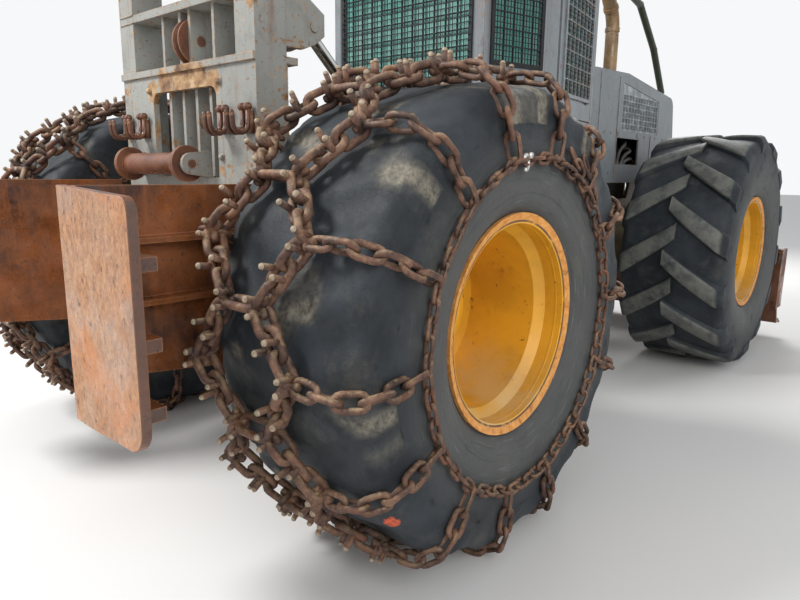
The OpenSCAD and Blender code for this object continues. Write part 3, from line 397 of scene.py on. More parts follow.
# A daub of marking paint on the right rear tyre, by its radius and angle round the axle
DAUB_R, DAUB_ANGLE = 0.895, math.radians(216.5)
DAUB = (-1.770 + DAUB_R * math.cos(DAUB_ANGLE), -1.558, 0.930 + DAUB_R * math.sin(DAUB_ANGLE))
# Name: recipe, base colour or a tyre's axle, options
RECIPES = {
    # The body's grey is the same light paint as the arch's, darkened and blued as painted shade.
    "body_paint": (painted, "7b8286", dict(rust=0.25, dust=0.4)),
    "arch_paint": (painted, "8f908b", dict(rust=1.0, dust=0.35, edge=0.022, tones=TAN_RUST, speck=74,
                                           bare=[((ARCH_BACK, y, z), reach) for y, z, reach in ARCH_BARE])),
    "frame_paint": (painted, "8e8472", dict(rust=0.8, dust=0.8, gloss=0.6)),
    "barrel": (painted, "9c9482", dict(rust=0.6, dust=0.5)),
    "riser": (painted, "2d3a2b", dict(rust=0.5, dust=0.3)),
    # Behind X -2.90 its back faces are paler, partly painted sunlight, and its side faces carry painted shade.
    "plate_rust": (rusted, "87502d", dict(dark="38231d", worn=0.45, pale_behind=2.90)),
    "blade_rust": (rusted, "6f4530", dict(worn=0.6)),
    "hook_rust": (rusted, "6a4330", dict(worn=0.2, stretch=(1, 1, 1))),
    "drum_steel": (rusted, "6c6058", dict(worn=0.8, stretch=(1, 1, 1))),
    "exhaust": (rusted, "927552", dict(dark="4e3f2f", worn=0.1, stretch=(1, 1, 1), bump=0.35)),
    "chain_rust": (chain_rust, "6d4e3d", {}),
    "cast": (dusty_cast, "6f624f", {}),
    "engine_iron": (dusty_cast, "3c3a37", {}),
    "rod": (plain_steel, "c8c9c6", dict(rough=0.16, dirt=0.15)),
    "bright_steel": (plain_steel, "cfd0cd", dict(rough=0.35, metal=0.7, dirt=0.3)),
    "glass": (tinted_glass, "6fb8ad", {}),
    "lamp": (lens, "dedcd2", {}),
    "guard": (trim, "17181a", {}),
    "mesh_grey": (trim, "8a8f90", {}),
    "dark_trim": (trim, "26262a", {}),
    "seat": (trim, "1e1f22", dict(weave=0.5)),
    "hose": (trim, "4a4846", {}),
    "filter_red": (trim, "6b2a2e", {}),
    "tyre_new": (rubber, "front", {}),
    "tyre_worn": (rubber, "rear", dict(torn=True, spot=DAUB)),
}
MATS = {name: recipe(name, base, **options) for name, (recipe, base, options) in RECIPES.items()}
for end in ("front", "rear"):
    at = JOINTS[f"wheel_{end}_left_spin"]["pos_m"]
    lo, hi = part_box(f"rim_{end}_left")
    MATS[f"rim_{end}"] = rim_paint(f"rim_{end}", (at[0], 0.0, at[2]), (hi[2] - lo[2]) / 2)

# The CAD's nodes by material; * stands for left and right
MAT_NODES = {
    "frame_paint": "rear_frame front_frame winch",
    "arch_paint": "arch",
    "body_paint": "hood cab_shell cab_roof door_* side_tanks",
    "plate_rust": "butt_plate",
    "blade_rust": "blade",
    "hook_rust": "choker_hooks fairlead_roller arch_sheave",
    "drum_steel": "winch_drum",
    "cast": "rear_axle front_axle",
    "glass": "cab_glass door_glass_*",
    "guard": "cab_guards",
    "mesh_grey": "hood_grilles",
    "seat": "seat",
    "dark_trim": "controls",
    "engine_iron": "engine",
    "exhaust": "exhaust",
    "riser": "limb_risers",
    "lamp": "lamps",
    "rim_front": "rim_front_*",
    "rim_rear": "rim_rear_*",
    "tyre_new": "tyre_front_* tyre_rear_*",
    "chain_rust": "chain_*",
    "barrel": "tilt_barrel_* lift_barrel_* helm_barrel_*",
    "rod": "tilt_rod_* lift_rod_* helm_rod_*",
}
for key, names in MAT_NODES.items():
    for node in (name.replace("*", side) for name in names.split() for side in SIDES):
        for slot in frame["nodes"][node].material_slots:
            slot.material = MATS[key]


# ---- mesh helpers

def linked(name, data):
    """A new object of the scene."""
    ob = bpy.data.objects.new(name, data)
    bpy.context.scene.collection.objects.link(ob)
    return ob


def bands(rings, around, loop=True, wrap=False):
    """Faces between rings of vertices; loop closes each ring, wrap joins the last ring to the first."""
    faces = []
    for i in range(rings if wrap else rings - 1):
        n = (i + 1) % rings
        for k in range(around if loop else around - 1):
            j = (k + 1) % around
            faces.append((i * around + k, i * around + j, n * around + j, n * around + k))
    return faces


def ends(rings, around):
    """The faces that close the first and the last ring."""
    return [tuple(reversed(range(around))), tuple((rings - 1) * around + k for k in range(around))]


def turned(faces):
    return [tuple(reversed(f)) for f in faces]


def circle(centre, a, b, r, sides):
    angles = (2 * math.pi * k / sides for k in range(sides))
    return [centre + (a * math.cos(t) + b * math.sin(t)) * r for t in angles]


def smooth_curve(pts, n):
    """Points along a Catmull-Rom curve through pts, n to a span."""
    out = []
    for i in range(len(pts) - 1):
        four = [pts[max(0, min(len(pts) - 1, j))] for j in (i - 1, i, i + 1, i + 2)]
        for t in (k / n for k in range(n)):
            out.append(tuple(0.5 * (2 * b + (c - a) * t + (2 * a - 5 * b + 4 * c - d) * t * t
                                    + (3 * b - a - 3 * c + d) * t ** 3) for a, b, c, d in zip(*four)))
    out.append(pts[-1])
    return out


class Buffer:
    """Collects vertices and faces of one piece."""

    def __init__(self):
        self.verts = []
        self.faces = []
        self.marks = {}

    def add(self, verts, faces, matrix=None):
        start = len(self.verts)
        self.verts += [matrix @ Vector(v) if matrix else Vector(v) for v in verts]
        self.faces += [tuple(start + i for i in f) for f in faces]

    def box(self, low, high, matrix=None):
        v = [(x, y, z) for x in (low[0], high[0]) for y in (low[1], high[1]) for z in (low[2], high[2])]
        self.add(v, [(0, 1, 3, 2), (4, 6, 7, 5), (0, 4, 5, 1), (2, 3, 7, 6), (0, 2, 6, 4), (1, 5, 7, 3)], matrix)

    def rod(self, p, q, r, sides=10, dome=0.0):
        """A round bar from p to q; dome rounds its end at q."""
        p, q = Vector(p), Vector(q)
        d = (q - p).normalized()
        a = d.orthogonal().normalized()
        rings = [(p, r), (q, r)]
        if dome:
            rings = [(p, r), (q - d * dome, r), (q - d * dome * 0.35, r * 0.82), (q, r * 0.45)]
        verts = [v for centre, size in rings for v in circle(centre, a, d.cross(a), size, sides)]
        self.add(verts, bands(len(rings), sides) + ends(len(rings), sides))

    def tube(self, pts, r, sides=12):
        """A round tube along points, with rings that turn with the path."""
        pts = [Vector(p) for p in pts]
        verts = []
        a = (pts[1] - pts[0]).normalized().orthogonal().normalized()
        for i, p in enumerate(pts):
            d = (pts[min(i + 1, len(pts) - 1)] - pts[max(i - 1, 0)]).normalized()
            a = (a - d * a.dot(d)).normalized()
            verts += circle(p, a, d.cross(a), r, sides)
        self.add(verts, bands(len(pts), sides) + ends(len(pts), sides))

    def piece(self, name, body, mat, slot, smooth=True, replaces=()):
        me = bpy.data.meshes.new(name)
        me.from_pydata([tuple(v) for v in self.verts], [], self.faces)
        me.validate()
        me.update()
        me.polygons.foreach_set("use_smooth", [smooth] * len(me.polygons))
        ob = linked(name, me)
        me.materials.append(MATS[mat])
        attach(ob, body)
        if replaces:
            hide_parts(*replaces)
        return ob


def mark(ob, name, values):
    """Gives each vertex a value that the material reads."""
    ob.data.attributes.new(name, "FLOAT", "POINT").data.foreach_set("value", values)


def wheel_place(end, side):
    """Matrix from a wheel's own frame, whose Y points outwards, to the machine's."""
    at = Vector(JOINTS[f"wheel_{end}_{side}_spin"]["pos_m"])
    flip = 1.0 if side == "left" else -1.0
    return Matrix.Translation(at) @ Matrix.Diagonal((1.0, flip, 1.0, 1.0))


def on_rear_wheel(local, side):
    """The same shape on a rear wheel, its faces turned where the wheel's frame mirrors them."""
    b = Buffer()
    b.add(local.verts, local.faces if side == "left" else turned(local.faces), wheel_place("rear", side))
    return b


def polar(r, y, deg):
    a = math.radians(deg)
    return Vector((r * math.cos(a), y, r * math.sin(a)))


# ---- tyres

RIM_W = 0.686
BEAD_R = 0.405
lo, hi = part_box("tyre_rear_left")
WORN_R = (hi[2] - lo[2]) / 2
TYRE_W = hi[1] - lo[1]
HALF_W = TYRE_W / 2
lo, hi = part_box("tyre_front_left")
TYRE_R = (hi[2] - lo[2]) / 2
TREAD_DEPTH = 0.14  # how far below the crown the tread ends
SWELL = 0.014  # how far the worn tyres bulge past the CAD's, but not at the ground
LUGS = 14
LUG_H = 0.046
LUG_SWEEP = 19.0  # degrees round the tyre from a lug's inner end to its outer one
LUG_LEAN = 37  # degrees between a lug and the wheel's axis
LUG_ACROSS = (-1.22, -1.0, -0.86, -0.74, 0.74, 0.86, 1.0, 1.22)  # in half widths


def tyre_section(r, n):
    """Radius and place along Y of a tyre's outer skin, from the outer bead to the inner one."""
    w = HALF_W
    side = [(BEAD_R + 0.0006, RIM_W / 2 - 0.024), (BEAD_R + 0.03, RIM_W / 2 - 0.016),
            (BEAD_R + 0.07, w - 0.028), (BEAD_R + 0.15, w - 0.008), (BEAD_R + 0.24, w - 0.001),
            (BEAD_R + 0.33, w - 0.004), (r - 0.062, w - 0.013), (r - 0.026, w - 0.032), (r - 0.007, w - 0.075),
            (r - 0.0015, w - 0.16), (r, 0.09)]
    half = smooth_curve(side, n)
    return half + [(r, 0.0)] + [(a, -b) for a, b in reversed(half)]


def revolve(section, sides, change=None):
    """Vertices, faces and marks of a section turned about Y; change gives a vertex's rise and mark."""
    verts, marks = [], []
    for i in range(sides):
        a = 360 * i / sides
        for r, y in section:
            rise, value = change(r, y, a) if change else (0.0, 0.0)
            verts.append(polar(r + rise, y, a))
            marks.append(value)
    return verts, bands(sides, len(section), loop=False, wrap=True), marks


def worn_surface(seed):
    """Bulges where the lugs were, with torn hollows along their edges."""
    def change(r, y, a):
        if r < WORN_R - TREAD_DEPTH:
            return 0.0, 0.0
        t = math.radians(a)
        p = Vector((math.cos(t) * 0.9, y, math.sin(t) * 0.9)) + Vector((seed * 7.1, 0, 0))
        phase = (a * LUGS / 360 + 0.5 * (y > 0) + abs(y) * 0.95) % 1.0
        old_lug = 0.5 + 0.5 * math.cos(2 * math.pi * phase)
        groove = max(0.0, 0.42 - old_lug) * min(1.0, abs(y) / 0.14) * 0.05
        off_ground = 1.0 - math.exp(-(((a - 90) % 360 - 180) / 22) ** 2)
        swell = SWELL * min(1.0, (r - WORN_R + TREAD_DEPTH) / 0.08) * off_ground
        n1 = noise.noise(p * 4.0)
        n2 = noise.noise(p * 11.0 + Vector((3, 1, 7)))
        tear = max(0.0, min(1.0, (n1 + 0.45 * n2 - 0.30) * 5.0)) * (1.0 if 0.25 < old_lug < 0.8 else 0.35)
        hollow = 0.016 * tear * (0.6 + 0.8 * abs(noise.noise(p * 34.0)))
        return swell - groove - hollow - 0.0025 * abs(n2), tear
    return change


def worn_tyre(side, seed):
    verts, faces, marks = revolve(tyre_section(WORN_R, 6), 300, worn_surface(seed))
    b = Buffer()
    b.add(verts, faces, wheel_place("rear", side))
    ob = b.piece(f"worn_tyre_{side}", f"wheel_rear_{side}", "tyre_worn", "tyre_rubber",
                 replaces=(f"tyre_rear_{side}",))
    mark(ob, "torn", marks)


def carcass_r(y):
    """Radius of a front tyre's skin between its lugs."""
    u = min(1.0, abs(y) / HALF_W)
    return TYRE_R - LUG_H - 0.012 * u * u - 0.075 * max(0.0, (u - 0.84) / 0.16) ** 2


def lug(b, s, start, place):
    """One bar lug from the tread's middle over the shoulder, with sloping sides."""
    steps, half_w = 14, 0.060
    y0, y1 = -0.035, HALF_W - 0.004
    deg_per_m = math.degrees(1.0 / TYRE_R) / math.cos(math.radians(LUG_LEAN))
    verts = []
    for u in (i / steps for i in range(steps + 1)):
        y = y0 + (y1 - y0) * u
        centre = start + LUG_SWEEP * u ** 0.92
        w = half_w * (0.82 + 0.36 * u)
        base = carcass_r(y) - 0.012
        top = TYRE_R - 0.004 - 0.010 * u * u - 0.055 * max(0.0, (u - 0.88) / 0.12) ** 1.6
        flank = [base, (base + top) / 2 + 0.008, top - 0.004, top]
        for across, r in zip(LUG_ACROSS, flank + flank[::-1]):
            verts.append(polar(min(r, TYRE_R - 0.001), s * y, centre + across * w * deg_per_m))
    m = len(LUG_ACROSS)
    faces = bands(steps + 1, m, loop=False) + ends(steps + 1, m)
    b.add(verts, faces if s > 0 else turned(faces), place)


def lugged_tyre(side):
    place = wheel_place("front", side)
    section = [(min(r, carcass_r(y)), y) for r, y in tyre_section(TYRE_R - LUG_H, 5)]
    verts, faces, _ = revolve(section, 144)
    b = Buffer()
    b.add(verts, faces, place)
    for i in range(LUGS):
        lug(b, 1.0, i * 360 / LUGS, place)
        lug(b, -1.0, (i + 0.5) * 360 / LUGS, place)
    ob = b.piece(f"lugged_tyre_{side}", f"wheel_front_{side}", "tyre_new", "tyre_rubber",
                 replaces=(f"tyre_front_{side}",))
    # Smooth shading stops at the lugs' edges
    bpy.context.view_layer.objects.active = ob
    ob.select_set(True)
    bpy.ops.object.shade_smooth_by_angle(angle=math.radians(38))
    ob.select_set(False)


# ---- tyre chains

CHAIN_N = 14
CHAIN_PITCH = 360 / CHAIN_N
CHAIN_PHASE = 106.0
SIDE_R = 0.635
# The net's outer and inner rows, from the middle of the net, which lies off the tyre's middle
NET_Y = (0.238, 0.088)
NET_SHIFT = -0.093
AXLE_Z = JOINTS["wheel_rear_left_spin"]["pos_m"][2]
GROUND_GAP = 0.0012
SIDE_LIMIT = HALF_W + 0.0405
# Kind of link: length, width and wire, then the steps round each end and round the wire
LINK_SIZES = {"tread": (0.150, 0.088, 0.0285, 8, 10), "cross": (0.120, 0.070, 0.0215, 7, 8),
              "ring": (0.087, 0.051, 0.0150, 6, 8)}
LINK_PLAY = 0.98  # how much of the wire's thickness neighbours share
PEG_R = 0.0112
PEG_LENGTH = 0.070
PEG_TIP = 0.012


def link_shape(length, width, wire, around, sides):
    """A stadium link along X that lies in the X-Y plane."""
    r = (width - wire) / 2
    half = (length - width) / 2
    verts = []
    for end in (1, -1):
        for i in range(around):
            t = -math.pi / 2 + math.pi * i / (around - 1) + (0 if end == 1 else math.pi)
            x, y, nx, ny = end * half + r * math.cos(t), r * math.sin(t), math.cos(t), math.sin(t)
            for a in (2 * math.pi * k / sides for k in range(sides)):
                across = math.cos(a) * wire / 2
                verts.append((x + nx * across, y + ny * across, math.sin(a) * wire / 2))
    return verts, bands(2 * around, sides, wrap=True)


LINKS = {kind: link_shape(*size) for kind, size in LINK_SIZES.items()}


def pegs(b, mid, along, out, spread, rng):
    """A pair of worn pegs that stand on both side bars of a link or on a connecting piece."""
    side = out.cross(along)
    for e in (-1, 1):
        foot = mid + side * e * spread + along * rng.uniform(-0.010, 0.010)
        lean = (out + along * rng.uniform(-0.14, 0.14) + side * e * rng.uniform(0.0, 0.16)).normalized()
        tip = foot + lean * PEG_LENGTH * rng.uniform(0.86, 1.0)
        r = PEG_R * rng.uniform(0.92, 1.05)
        sides = 9
        b.rod(foot - lean * 0.010, tip - lean * PEG_TIP, r, sides=sides)
        start = len(b.verts)
        b.rod(tip - lean * PEG_TIP, tip, r, sides=sides, dome=0.009)
        for i in range(start + sides, len(b.verts)):
            b.marks[i] = 1.0


def along_path(pts, dist):
    """Point and outward normal at a distance along a path of such pairs."""
    for i in range(len(pts) - 1):
        seg = (pts[i + 1][0] - pts[i][0]).length
        if dist <= seg or i == len(pts) - 2:
            t = dist / seg if seg else 0
            return pts[i][0].lerp(pts[i + 1][0], t), pts[i][1].lerp(pts[i + 1][1], t).normalized()
        dist -= seg


def lay_run(b, pts, kind, rng, rolls, count=0, studs=()):
    """Links along a path of (point, outward normal) pairs; studs lists the link numbers that carry pegs."""
    length, width, wire = LINK_SIZES[kind][:3]
    shared = 2 * wire * LINK_PLAY
    total = sum((pts[i + 1][0] - pts[i][0]).length for i in range(len(pts) - 1))
    count = count or max(1, round(total / (length - shared)))
    step = total / count
    stretch = (step + shared) / length
    for i in range(count):
        p, n0 = along_path(pts, i * step)
        q, n1 = along_path(pts, (i + 1) * step)
        x = (q - p).normalized()
        z = n0 + n1
        z = (z - x * z.dot(x)).normalized()
        y = z.cross(x)
        roll = math.radians(rolls[i % len(rolls)] + rng.uniform(-9, 9))
        yy = y * math.cos(roll) + z * math.sin(roll)
        zz = z * math.cos(roll) - y * math.sin(roll)
        mid = (p + q) / 2
        rows = [(x[k] * stretch, yy[k], zz[k], mid[k]) for k in range(3)]
        b.add(*LINKS[kind], Matrix((*rows, (0, 0, 0, 1))))
        if i in studs:
            pegs(b, mid, x, z, (width - wire) / 2, rng)


def knot(b, centre, out, arms, rng):
    """The connecting piece where runs of the net meet: short arms and a pair of pegs."""
    for arm in arms:
        d = (arm - centre).normalized()
        b.rod(centre - d * 0.006, centre + d * 0.042, 0.0145, sides=10, dome=0.008)
    pegs(b, centre, (arms[0] - centre).normalized(), out, 0.021, rng)


def tyre_normal(y, deg):
    """Outward direction of a worn tyre's skin at a place across it."""
    t = max(0.0, (abs(y) / HALF_W - 0.72) / 0.28)
    radial = polar(1.0, 0.0, deg)
    return (radial * math.cos(t * 1.2) + Vector((0, 1 if y > 0 else -1, 0)) * math.sin(t * 1.2)).normalized()


def net_y(s, row):
    """Place across the tyre of the net's outer (0) or inner (1) row on one side of its middle."""
    return s * NET_Y[row] + NET_SHIFT


def crown_r(deg):
    """Radius of the net's middle line: it hangs a little off the tyre at the top and is pressed on below."""
    low = (deg - 270 + 180) % 360 - 180
    high = (deg - 130 + 180) % 360 - 180
    return WORN_R + 0.054 - 0.034 * math.exp(-(low / 20) ** 2) + 0.018 * math.exp(-(high / 60) ** 2)


def side_rings(b, rng):
    """The ring of links on each wall, sagging a little between the cross chains."""
    for s in (1, -1):
        for i in range(CHAIN_N):
            ring = []
            for k in range(7):
                r = SIDE_R - 0.007 * abs(math.sin(math.pi * k / 6))
                at = polar(r, s * (HALF_W + 0.0205), CHAIN_PHASE + (i + k / 6) * CHAIN_PITCH)
                ring.append((at, Vector((0, s, 0))))
            lay_run(b, ring, "ring", rng, (12, 76) if i % 2 == 0 else (76, 12), count=5)


def outer_knots(b, a, rng):
    """At one angle, the cross chains up both walls, and the outer knots with the runs that leave them."""
    crown = crown_r(a)
    for s in (1, -1):
        row, next_row = net_y(s, 0), net_y(s, 1)
        bow = rng.uniform(-1.5, 1.5)
        path = [(SIDE_R + 0.010, HALF_W + 0.019), (0.72, HALF_W + 0.0195), (0.79, HALF_W + 0.0195),
                (WORN_R - 0.045, HALF_W + 0.010), (WORN_R + 0.002, HALF_W - 0.014),
                (crown - 0.012, HALF_W - 0.070), (crown - 0.003, 0.5 * (HALF_W + abs(row))),
                (crown, abs(row) + 0.020)]
        run = [(polar(r, s * y, a + bow * math.sin(math.pi * k / (len(path) - 1))), tyre_normal(s * y, a))
               for k, (r, y) in enumerate(path)]
        lay_run(b, run, "cross", rng, (62, -32))
        arms = [polar(crown, row + s * 0.1, a)]
        for d in (-1, 1):
            end = a + d * CHAIN_PITCH / 2
            pts = []
            for t in (0.04 + 0.92 * k / 6 for k in range(7)):
                deg = a + (end - a) * t
                y = row + (next_row - row) * t
                pts.append((polar(crown_r(deg), y, deg), tyre_normal(y, deg)))
            arms.append(pts[1][0])
            lay_run(b, pts, "tread", rng, (78, 4, -78), count=3, studs=(1,))
        knot(b, polar(crown, row, a), polar(1.0, 0, a), arms, rng)


def inner_knots(b, a, rng):
    """At one angle, the inner knots and the link that joins them over the net's middle."""
    crown = crown_r(a)
    for s in (1, -1):
        arms = [polar(crown, NET_SHIFT, a)]
        arms += [polar(crown, net_y(s, 0), a + d * CHAIN_PITCH / 2) for d in (-1, 1)]
        knot(b, polar(crown, net_y(s, 1), a), polar(1.0, 0, a), arms, rng)
    across = (net_y(-1, 1) + 0.014, NET_SHIFT, net_y(1, 1) - 0.014)
    lay_run(b, [(polar(crown, y, a), tyre_normal(y, a)) for y in across], "tread", rng, (70,), count=1)


def spare_links(b, rng):
    """The bunch of left-over links by the ring's lock."""
    out = Vector((0, 1, 0))
    for k, (deg, r) in enumerate(((47, 0.660), (50, 0.700), (55, 0.672), (58, 0.712), (63, 0.668), (67, 0.690))):
        d = 4.0 if k % 2 else 3.0
        pts = [(polar(r - 0.016, HALF_W + 0.020, deg - d), out), (polar(r + 0.014, HALF_W + 0.019, deg + d), out)]
        lay_run(b, pts, "ring", rng, (30 - 50 * (k % 2),), count=1)


def chain(side, seed):
    """A tyre's chain: a ring on each wall, and cross chains that carry the zigzag net on the tread."""
    rng = random.Random(seed)
    b = Buffer()
    side_rings(b, rng)
    for i in range(CHAIN_N):
        a = CHAIN_PHASE + i * CHAIN_PITCH
        outer_knots(b, a, rng)
        inner_knots(b, a + CHAIN_PITCH / 2, rng)
    spare_links(b, rng)
    worn = [b.marks.get(i, 0.0) for i in range(len(b.verts))]
    for v in b.verts:
        # Pressed flat on the ground, and kept within the chain's width
        v.z = max(v.z, GROUND_GAP - AXLE_Z)
        v.y = max(-SIDE_LIMIT, min(SIDE_LIMIT, v.y))
    ob = on_rear_wheel(b, side).piece(f"chain_links_{side}", f"wheel_rear_{side}", "chain_rust", "rusty_steel",
                                      replaces=(f"chain_{side}",))
    mark(ob, "worn", worn)


def ring_lock(side):
    """The bright hook that closes the side chain."""
    b = Buffer()
    w, deg = HALF_W, 100.7
    turns = (math.pi * (0.2 + 1.55 * k / 14) for k in range(15))
    b.tube([polar(SIDE_R - 0.012 + 0.026 * math.sin(t), w + 0.026 + 0.008 * math.cos(t), deg + 2.6 * math.cos(t))
            for t in turns], 0.0072, 8)
    b.rod(polar(SIDE_R + 0.008, w + 0.022, deg - 2.4), polar(SIDE_R + 0.008, w + 0.036, deg - 2.4), 0.011)
    on_rear_wheel(b, side).piece(f"ring_lock_{side}", f"wheel_rear_{side}", "bright_steel", "rusty_steel")


# ---- wire guards

# The cab's plan on the left side, from its rear corner to its front one
CAB_PLAN = ((-0.690, 0.610), (-0.200, 0.740), (-0.040, 0.745), (0.690, 0.640))
REAR_WALL, DOOR_WALL = 0, 2
GUARD_RIM = 0.022
WIRES_A_BAY = 3
WIRE_T = 0.0045
WIRE_OUT = 0.006  # the wires' place in front of the wall


def wall_place(i, side):
    """Matrix from a cab wall's own frame (X along it, Y outwards, Z up) to the machine's."""
    (x0, y0), (x1, y1) = CAB_PLAN[i], CAB_PLAN[i + 1]
    m = Matrix.Translation((x0, y0, 0)) @ Matrix.Rotation(math.atan2(y1 - y0, x1 - x0), 4, "Z")
    return Matrix.Diagonal((1, side, 1, 1)) @ m


def cross_wall(x, y):
    """The same for a wall that stands across the machine."""
    return Matrix.Translation((x, y, 0)) @ Matrix.Rotation(math.radians(90), 4, "Z")


def wall_len(i):
    return math.dist(CAB_PLAN[i], CAB_PLAN[i + 1])


def wires(b, place, x0, z0, w, h, n, m):
    """Fine wires between the coarse bars of a guard of n by m bays, in a wall's own frame."""
    r = WIRE_T / 2

    def between(start, length, bays):
        bay = (length - 2 * GUARD_RIM) / bays
        return [start + GUARD_RIM + i * bay / WIRES_A_BAY for i in range(bays * WIRES_A_BAY) if i % WIRES_A_BAY]

    for x in between(x0, w, n):
        b.box((x - r, WIRE_OUT - WIRE_T, z0 + 0.01), (x + r, WIRE_OUT, z0 + h - 0.01), place)
    for z in between(z0, h, m):
        b.box((x0 + 0.01, WIRE_OUT, z - r), (x0 + w - 0.01, WIRE_OUT + WIRE_T, z + r), place)


def guard_wires():
    b = Buffer()
    wires(b, cross_wall(-0.7023, -0.535), 0, 2.020, 1.070, 0.880, 12, 9)
    for side in (1, -1):
        wires(b, wall_place(REAR_WALL, side), 0.050, 2.120, wall_len(REAR_WALL) - 0.085, 0.770, 5, 8)
    wires(b, cross_wall(0.7123, -0.590), 0, 2.300, 1.180, 0.590, 12, 6)
    b.piece("guard_wires", "front", "guard", "guard_black", smooth=False)
    for side, name in ((1, "left"), (-1, "right")):
        b = Buffer()
        door_w = wall_len(DOOR_WALL) - 0.040 - 0.012
        wires(b, wall_place(DOOR_WALL, side), 0.068, 2.000, door_w - 0.102, 0.850, 7, 9)
        b.piece(f"door_wires_{name}", f"door_{name}", "guard", "guard_black", smooth=False)


# ---- arch, winch and channel details

ARCH_HALF = 0.560


def weld(b, p, q, r, side, seed):
    """A rippled weld bead from p to q."""
    rng = random.Random(seed)
    p, q = Vector(p), Vector(q)
    n = max(2, int((q - p).length / 0.009))
    a = Vector(side).normalized()
    c = (q - p).normalized().cross(a)
    verts = []
    for i in range(n + 1):
        ripple = 1.0 + 0.22 * (i % 2) + rng.uniform(-0.1, 0.1)
        verts += circle(p.lerp(q, i / n), a, c, r * ripple, 6)
    b.add(verts, bands(n + 1, 6))


def bolt(b, at, axis, r, h=0.012):
    """A hexagon head with its washer."""
    at, axis = Vector(at), Vector(axis).normalized()
    b.rod(at, at + axis * 0.004, r * 1.35, sides=14)
    b.rod(at + axis * 0.003, at + axis * (0.003 + h), r, sides=6)


def arch_fittings():
    """Welds and bolts on the arch."""
    b = Buffer()
    back = ARCH_BACK
    seed = 0
    for s in (1, -1):
        for z in (1.400, 1.470, 1.945, 1.975, 2.210, 2.246, 2.410):
            weld(b, (back - 0.001, s * 0.425, z), (back - 0.001, s * 0.549, z), 0.004, (-1, 0, 0), seed)
            seed += 1
        weld(b, (back + 0.159, s * ARCH_HALF, 1.46), (back + 0.159, s * ARCH_HALF, 1.94), 0.004, (0, s, 0), seed)
        for z in (1.56, 1.88):
            bolt(b, (back, s * 0.300, z), (-1, 0, 0), 0.013)
        bolt(b, (back + 0.126, s * ARCH_HALF, 1.52), (0, s, 0), 0.012, 0.009)
        bolt(b, (back + 0.08, s * ARCH_HALF, 2.44), (0, s, 0), 0.014, 0.010)
    for y in (0.172, 0.054, -0.059, -0.174):
        weld(b, (back + 0.034, y + 0.013, 1.475), (back + 0.034, y - 0.013, 1.475), 0.005, (0, 0, 1), seed)
        seed += 1
    b.piece("arch_fittings", "arch", "arch_paint", "body_paint")


def arc(y, z, r, start, end, n=6):
    angles = (math.radians(start + (end - start) * i / n) for i in range(n + 1))
    return [(y + r * math.cos(a), z + r * math.sin(a)) for a in angles]


def plate(b, outline, s, x0, x1, bevel):
    """A plate across X on side s, from (y, z) points anticlockwise as seen from +X, its arrises broken."""
    outline = [(s * y, z) for y, z in (outline if s > 0 else reversed(outline))]
    n = len(outline)
    cy = sum(p[0] for p in outline) / n
    cz = sum(p[1] for p in outline) / n
    verts = []
    for x, inset in ((x0, bevel), (x0 + bevel, 0), (x1 - bevel, 0), (x1, bevel)):
        for y, z in outline:
            d = math.hypot(y - cy, z - cz)
            verts.append((x, y - (y - cy) / d * inset, z - (z - cz) / d * inset))
    b.add(verts, bands(4, n) + ends(4, n))


def window_corners():
    """Fills the window's top corners to the wide round ones that the arch has."""
    b = Buffer()
    corner = arc(0.2505, 1.8465, 0.0200, 0, 90) + arc(0.2250, 1.8210, 0.0450, 90, 0)
    for s in (1, -1):
        plate(b, corner, s, ARCH_BACK + 0.0004, ARCH_BACK + 0.0296, 0.0)
    b.piece("window_corners", "arch", "arch_paint", "body_paint", smooth=False)


HOOK_YS = (-0.510, -0.350, 0.350, 0.510)


def hooks():
    """Forged hooks for the chokers on the arch's rear face, each of two bars with an eye at the top."""
    b = Buffer()
    back = ARCH_BACK - 0.0003
    eye, bend, bend_r, bar_r = back - 0.024, back - 0.061, 0.037, 0.0105
    for y in HOOK_YS:
        b.box((back - 0.016, y - 0.032, 1.655), (back, y + 0.032, 1.742))
        for bar in (y - 0.018, y + 0.018):
            curve = [(bend + bend_r * math.cos(t), bar, 1.692 - bend_r * math.sin(t))
                     for t in (math.pi * k / 7 for k in range(8))]
            tip = [(back - 0.100, bar, 1.716), (back - 0.101, bar, 1.732)]
            b.tube([(back - 0.022, bar, 1.760)] + curve + tip, bar_r, 10)
            b.rod((back - 0.101, bar, 1.726), (back - 0.102, bar, 1.744), 0.0103, dome=0.010)
            b.rod((eye, bar - 0.009, 1.760), (eye, bar + 0.009, 1.760), 0.0165, sides=18)
        b.rod((eye, y - 0.040, 1.760), (eye, y + 0.040, 1.760), 0.0085)
        b.rod((back - 0.050, y - 0.020, 1.665), (back - 0.050, y + 0.020, 1.665), 0.014, sides=12)
    b.piece("forged_hooks", "arch", "hook_rust", "rusty_steel", replaces=("choker_hooks",))


def rope_on_drum():
    """One layer of wire rope wound on the winch drum."""
    b = Buffer()
    x, z, r = -1.560, 1.500, 0.165 + 0.0105
    half, turns, a_turn = 0.182, 17, 30
    pts = []
    for i in range(turns * a_turn + 1):
        a = 2 * math.pi * i / a_turn
        pts.append((x + r * math.cos(a), -half + 2 * half * i / (turns * a_turn), z + r * math.sin(a)))
    b.tube(pts, 0.0102, 8)
    b.piece("drum_rope", "drum", "drum_steel", "rusty_steel")


def channel_welds():
    b = Buffer()
    for s in (1, -1):
        for z in (1.250, 1.030):
            for edge in (z - 0.002, z + 0.022):
                weld(b, (-2.95, s * 0.615, edge), (-2.29, s * 0.615, edge), 0.005, (0, s, 0), int(z * 100))
    b.piece("channel_welds", "rear", "plate_rust", "rusty_steel")


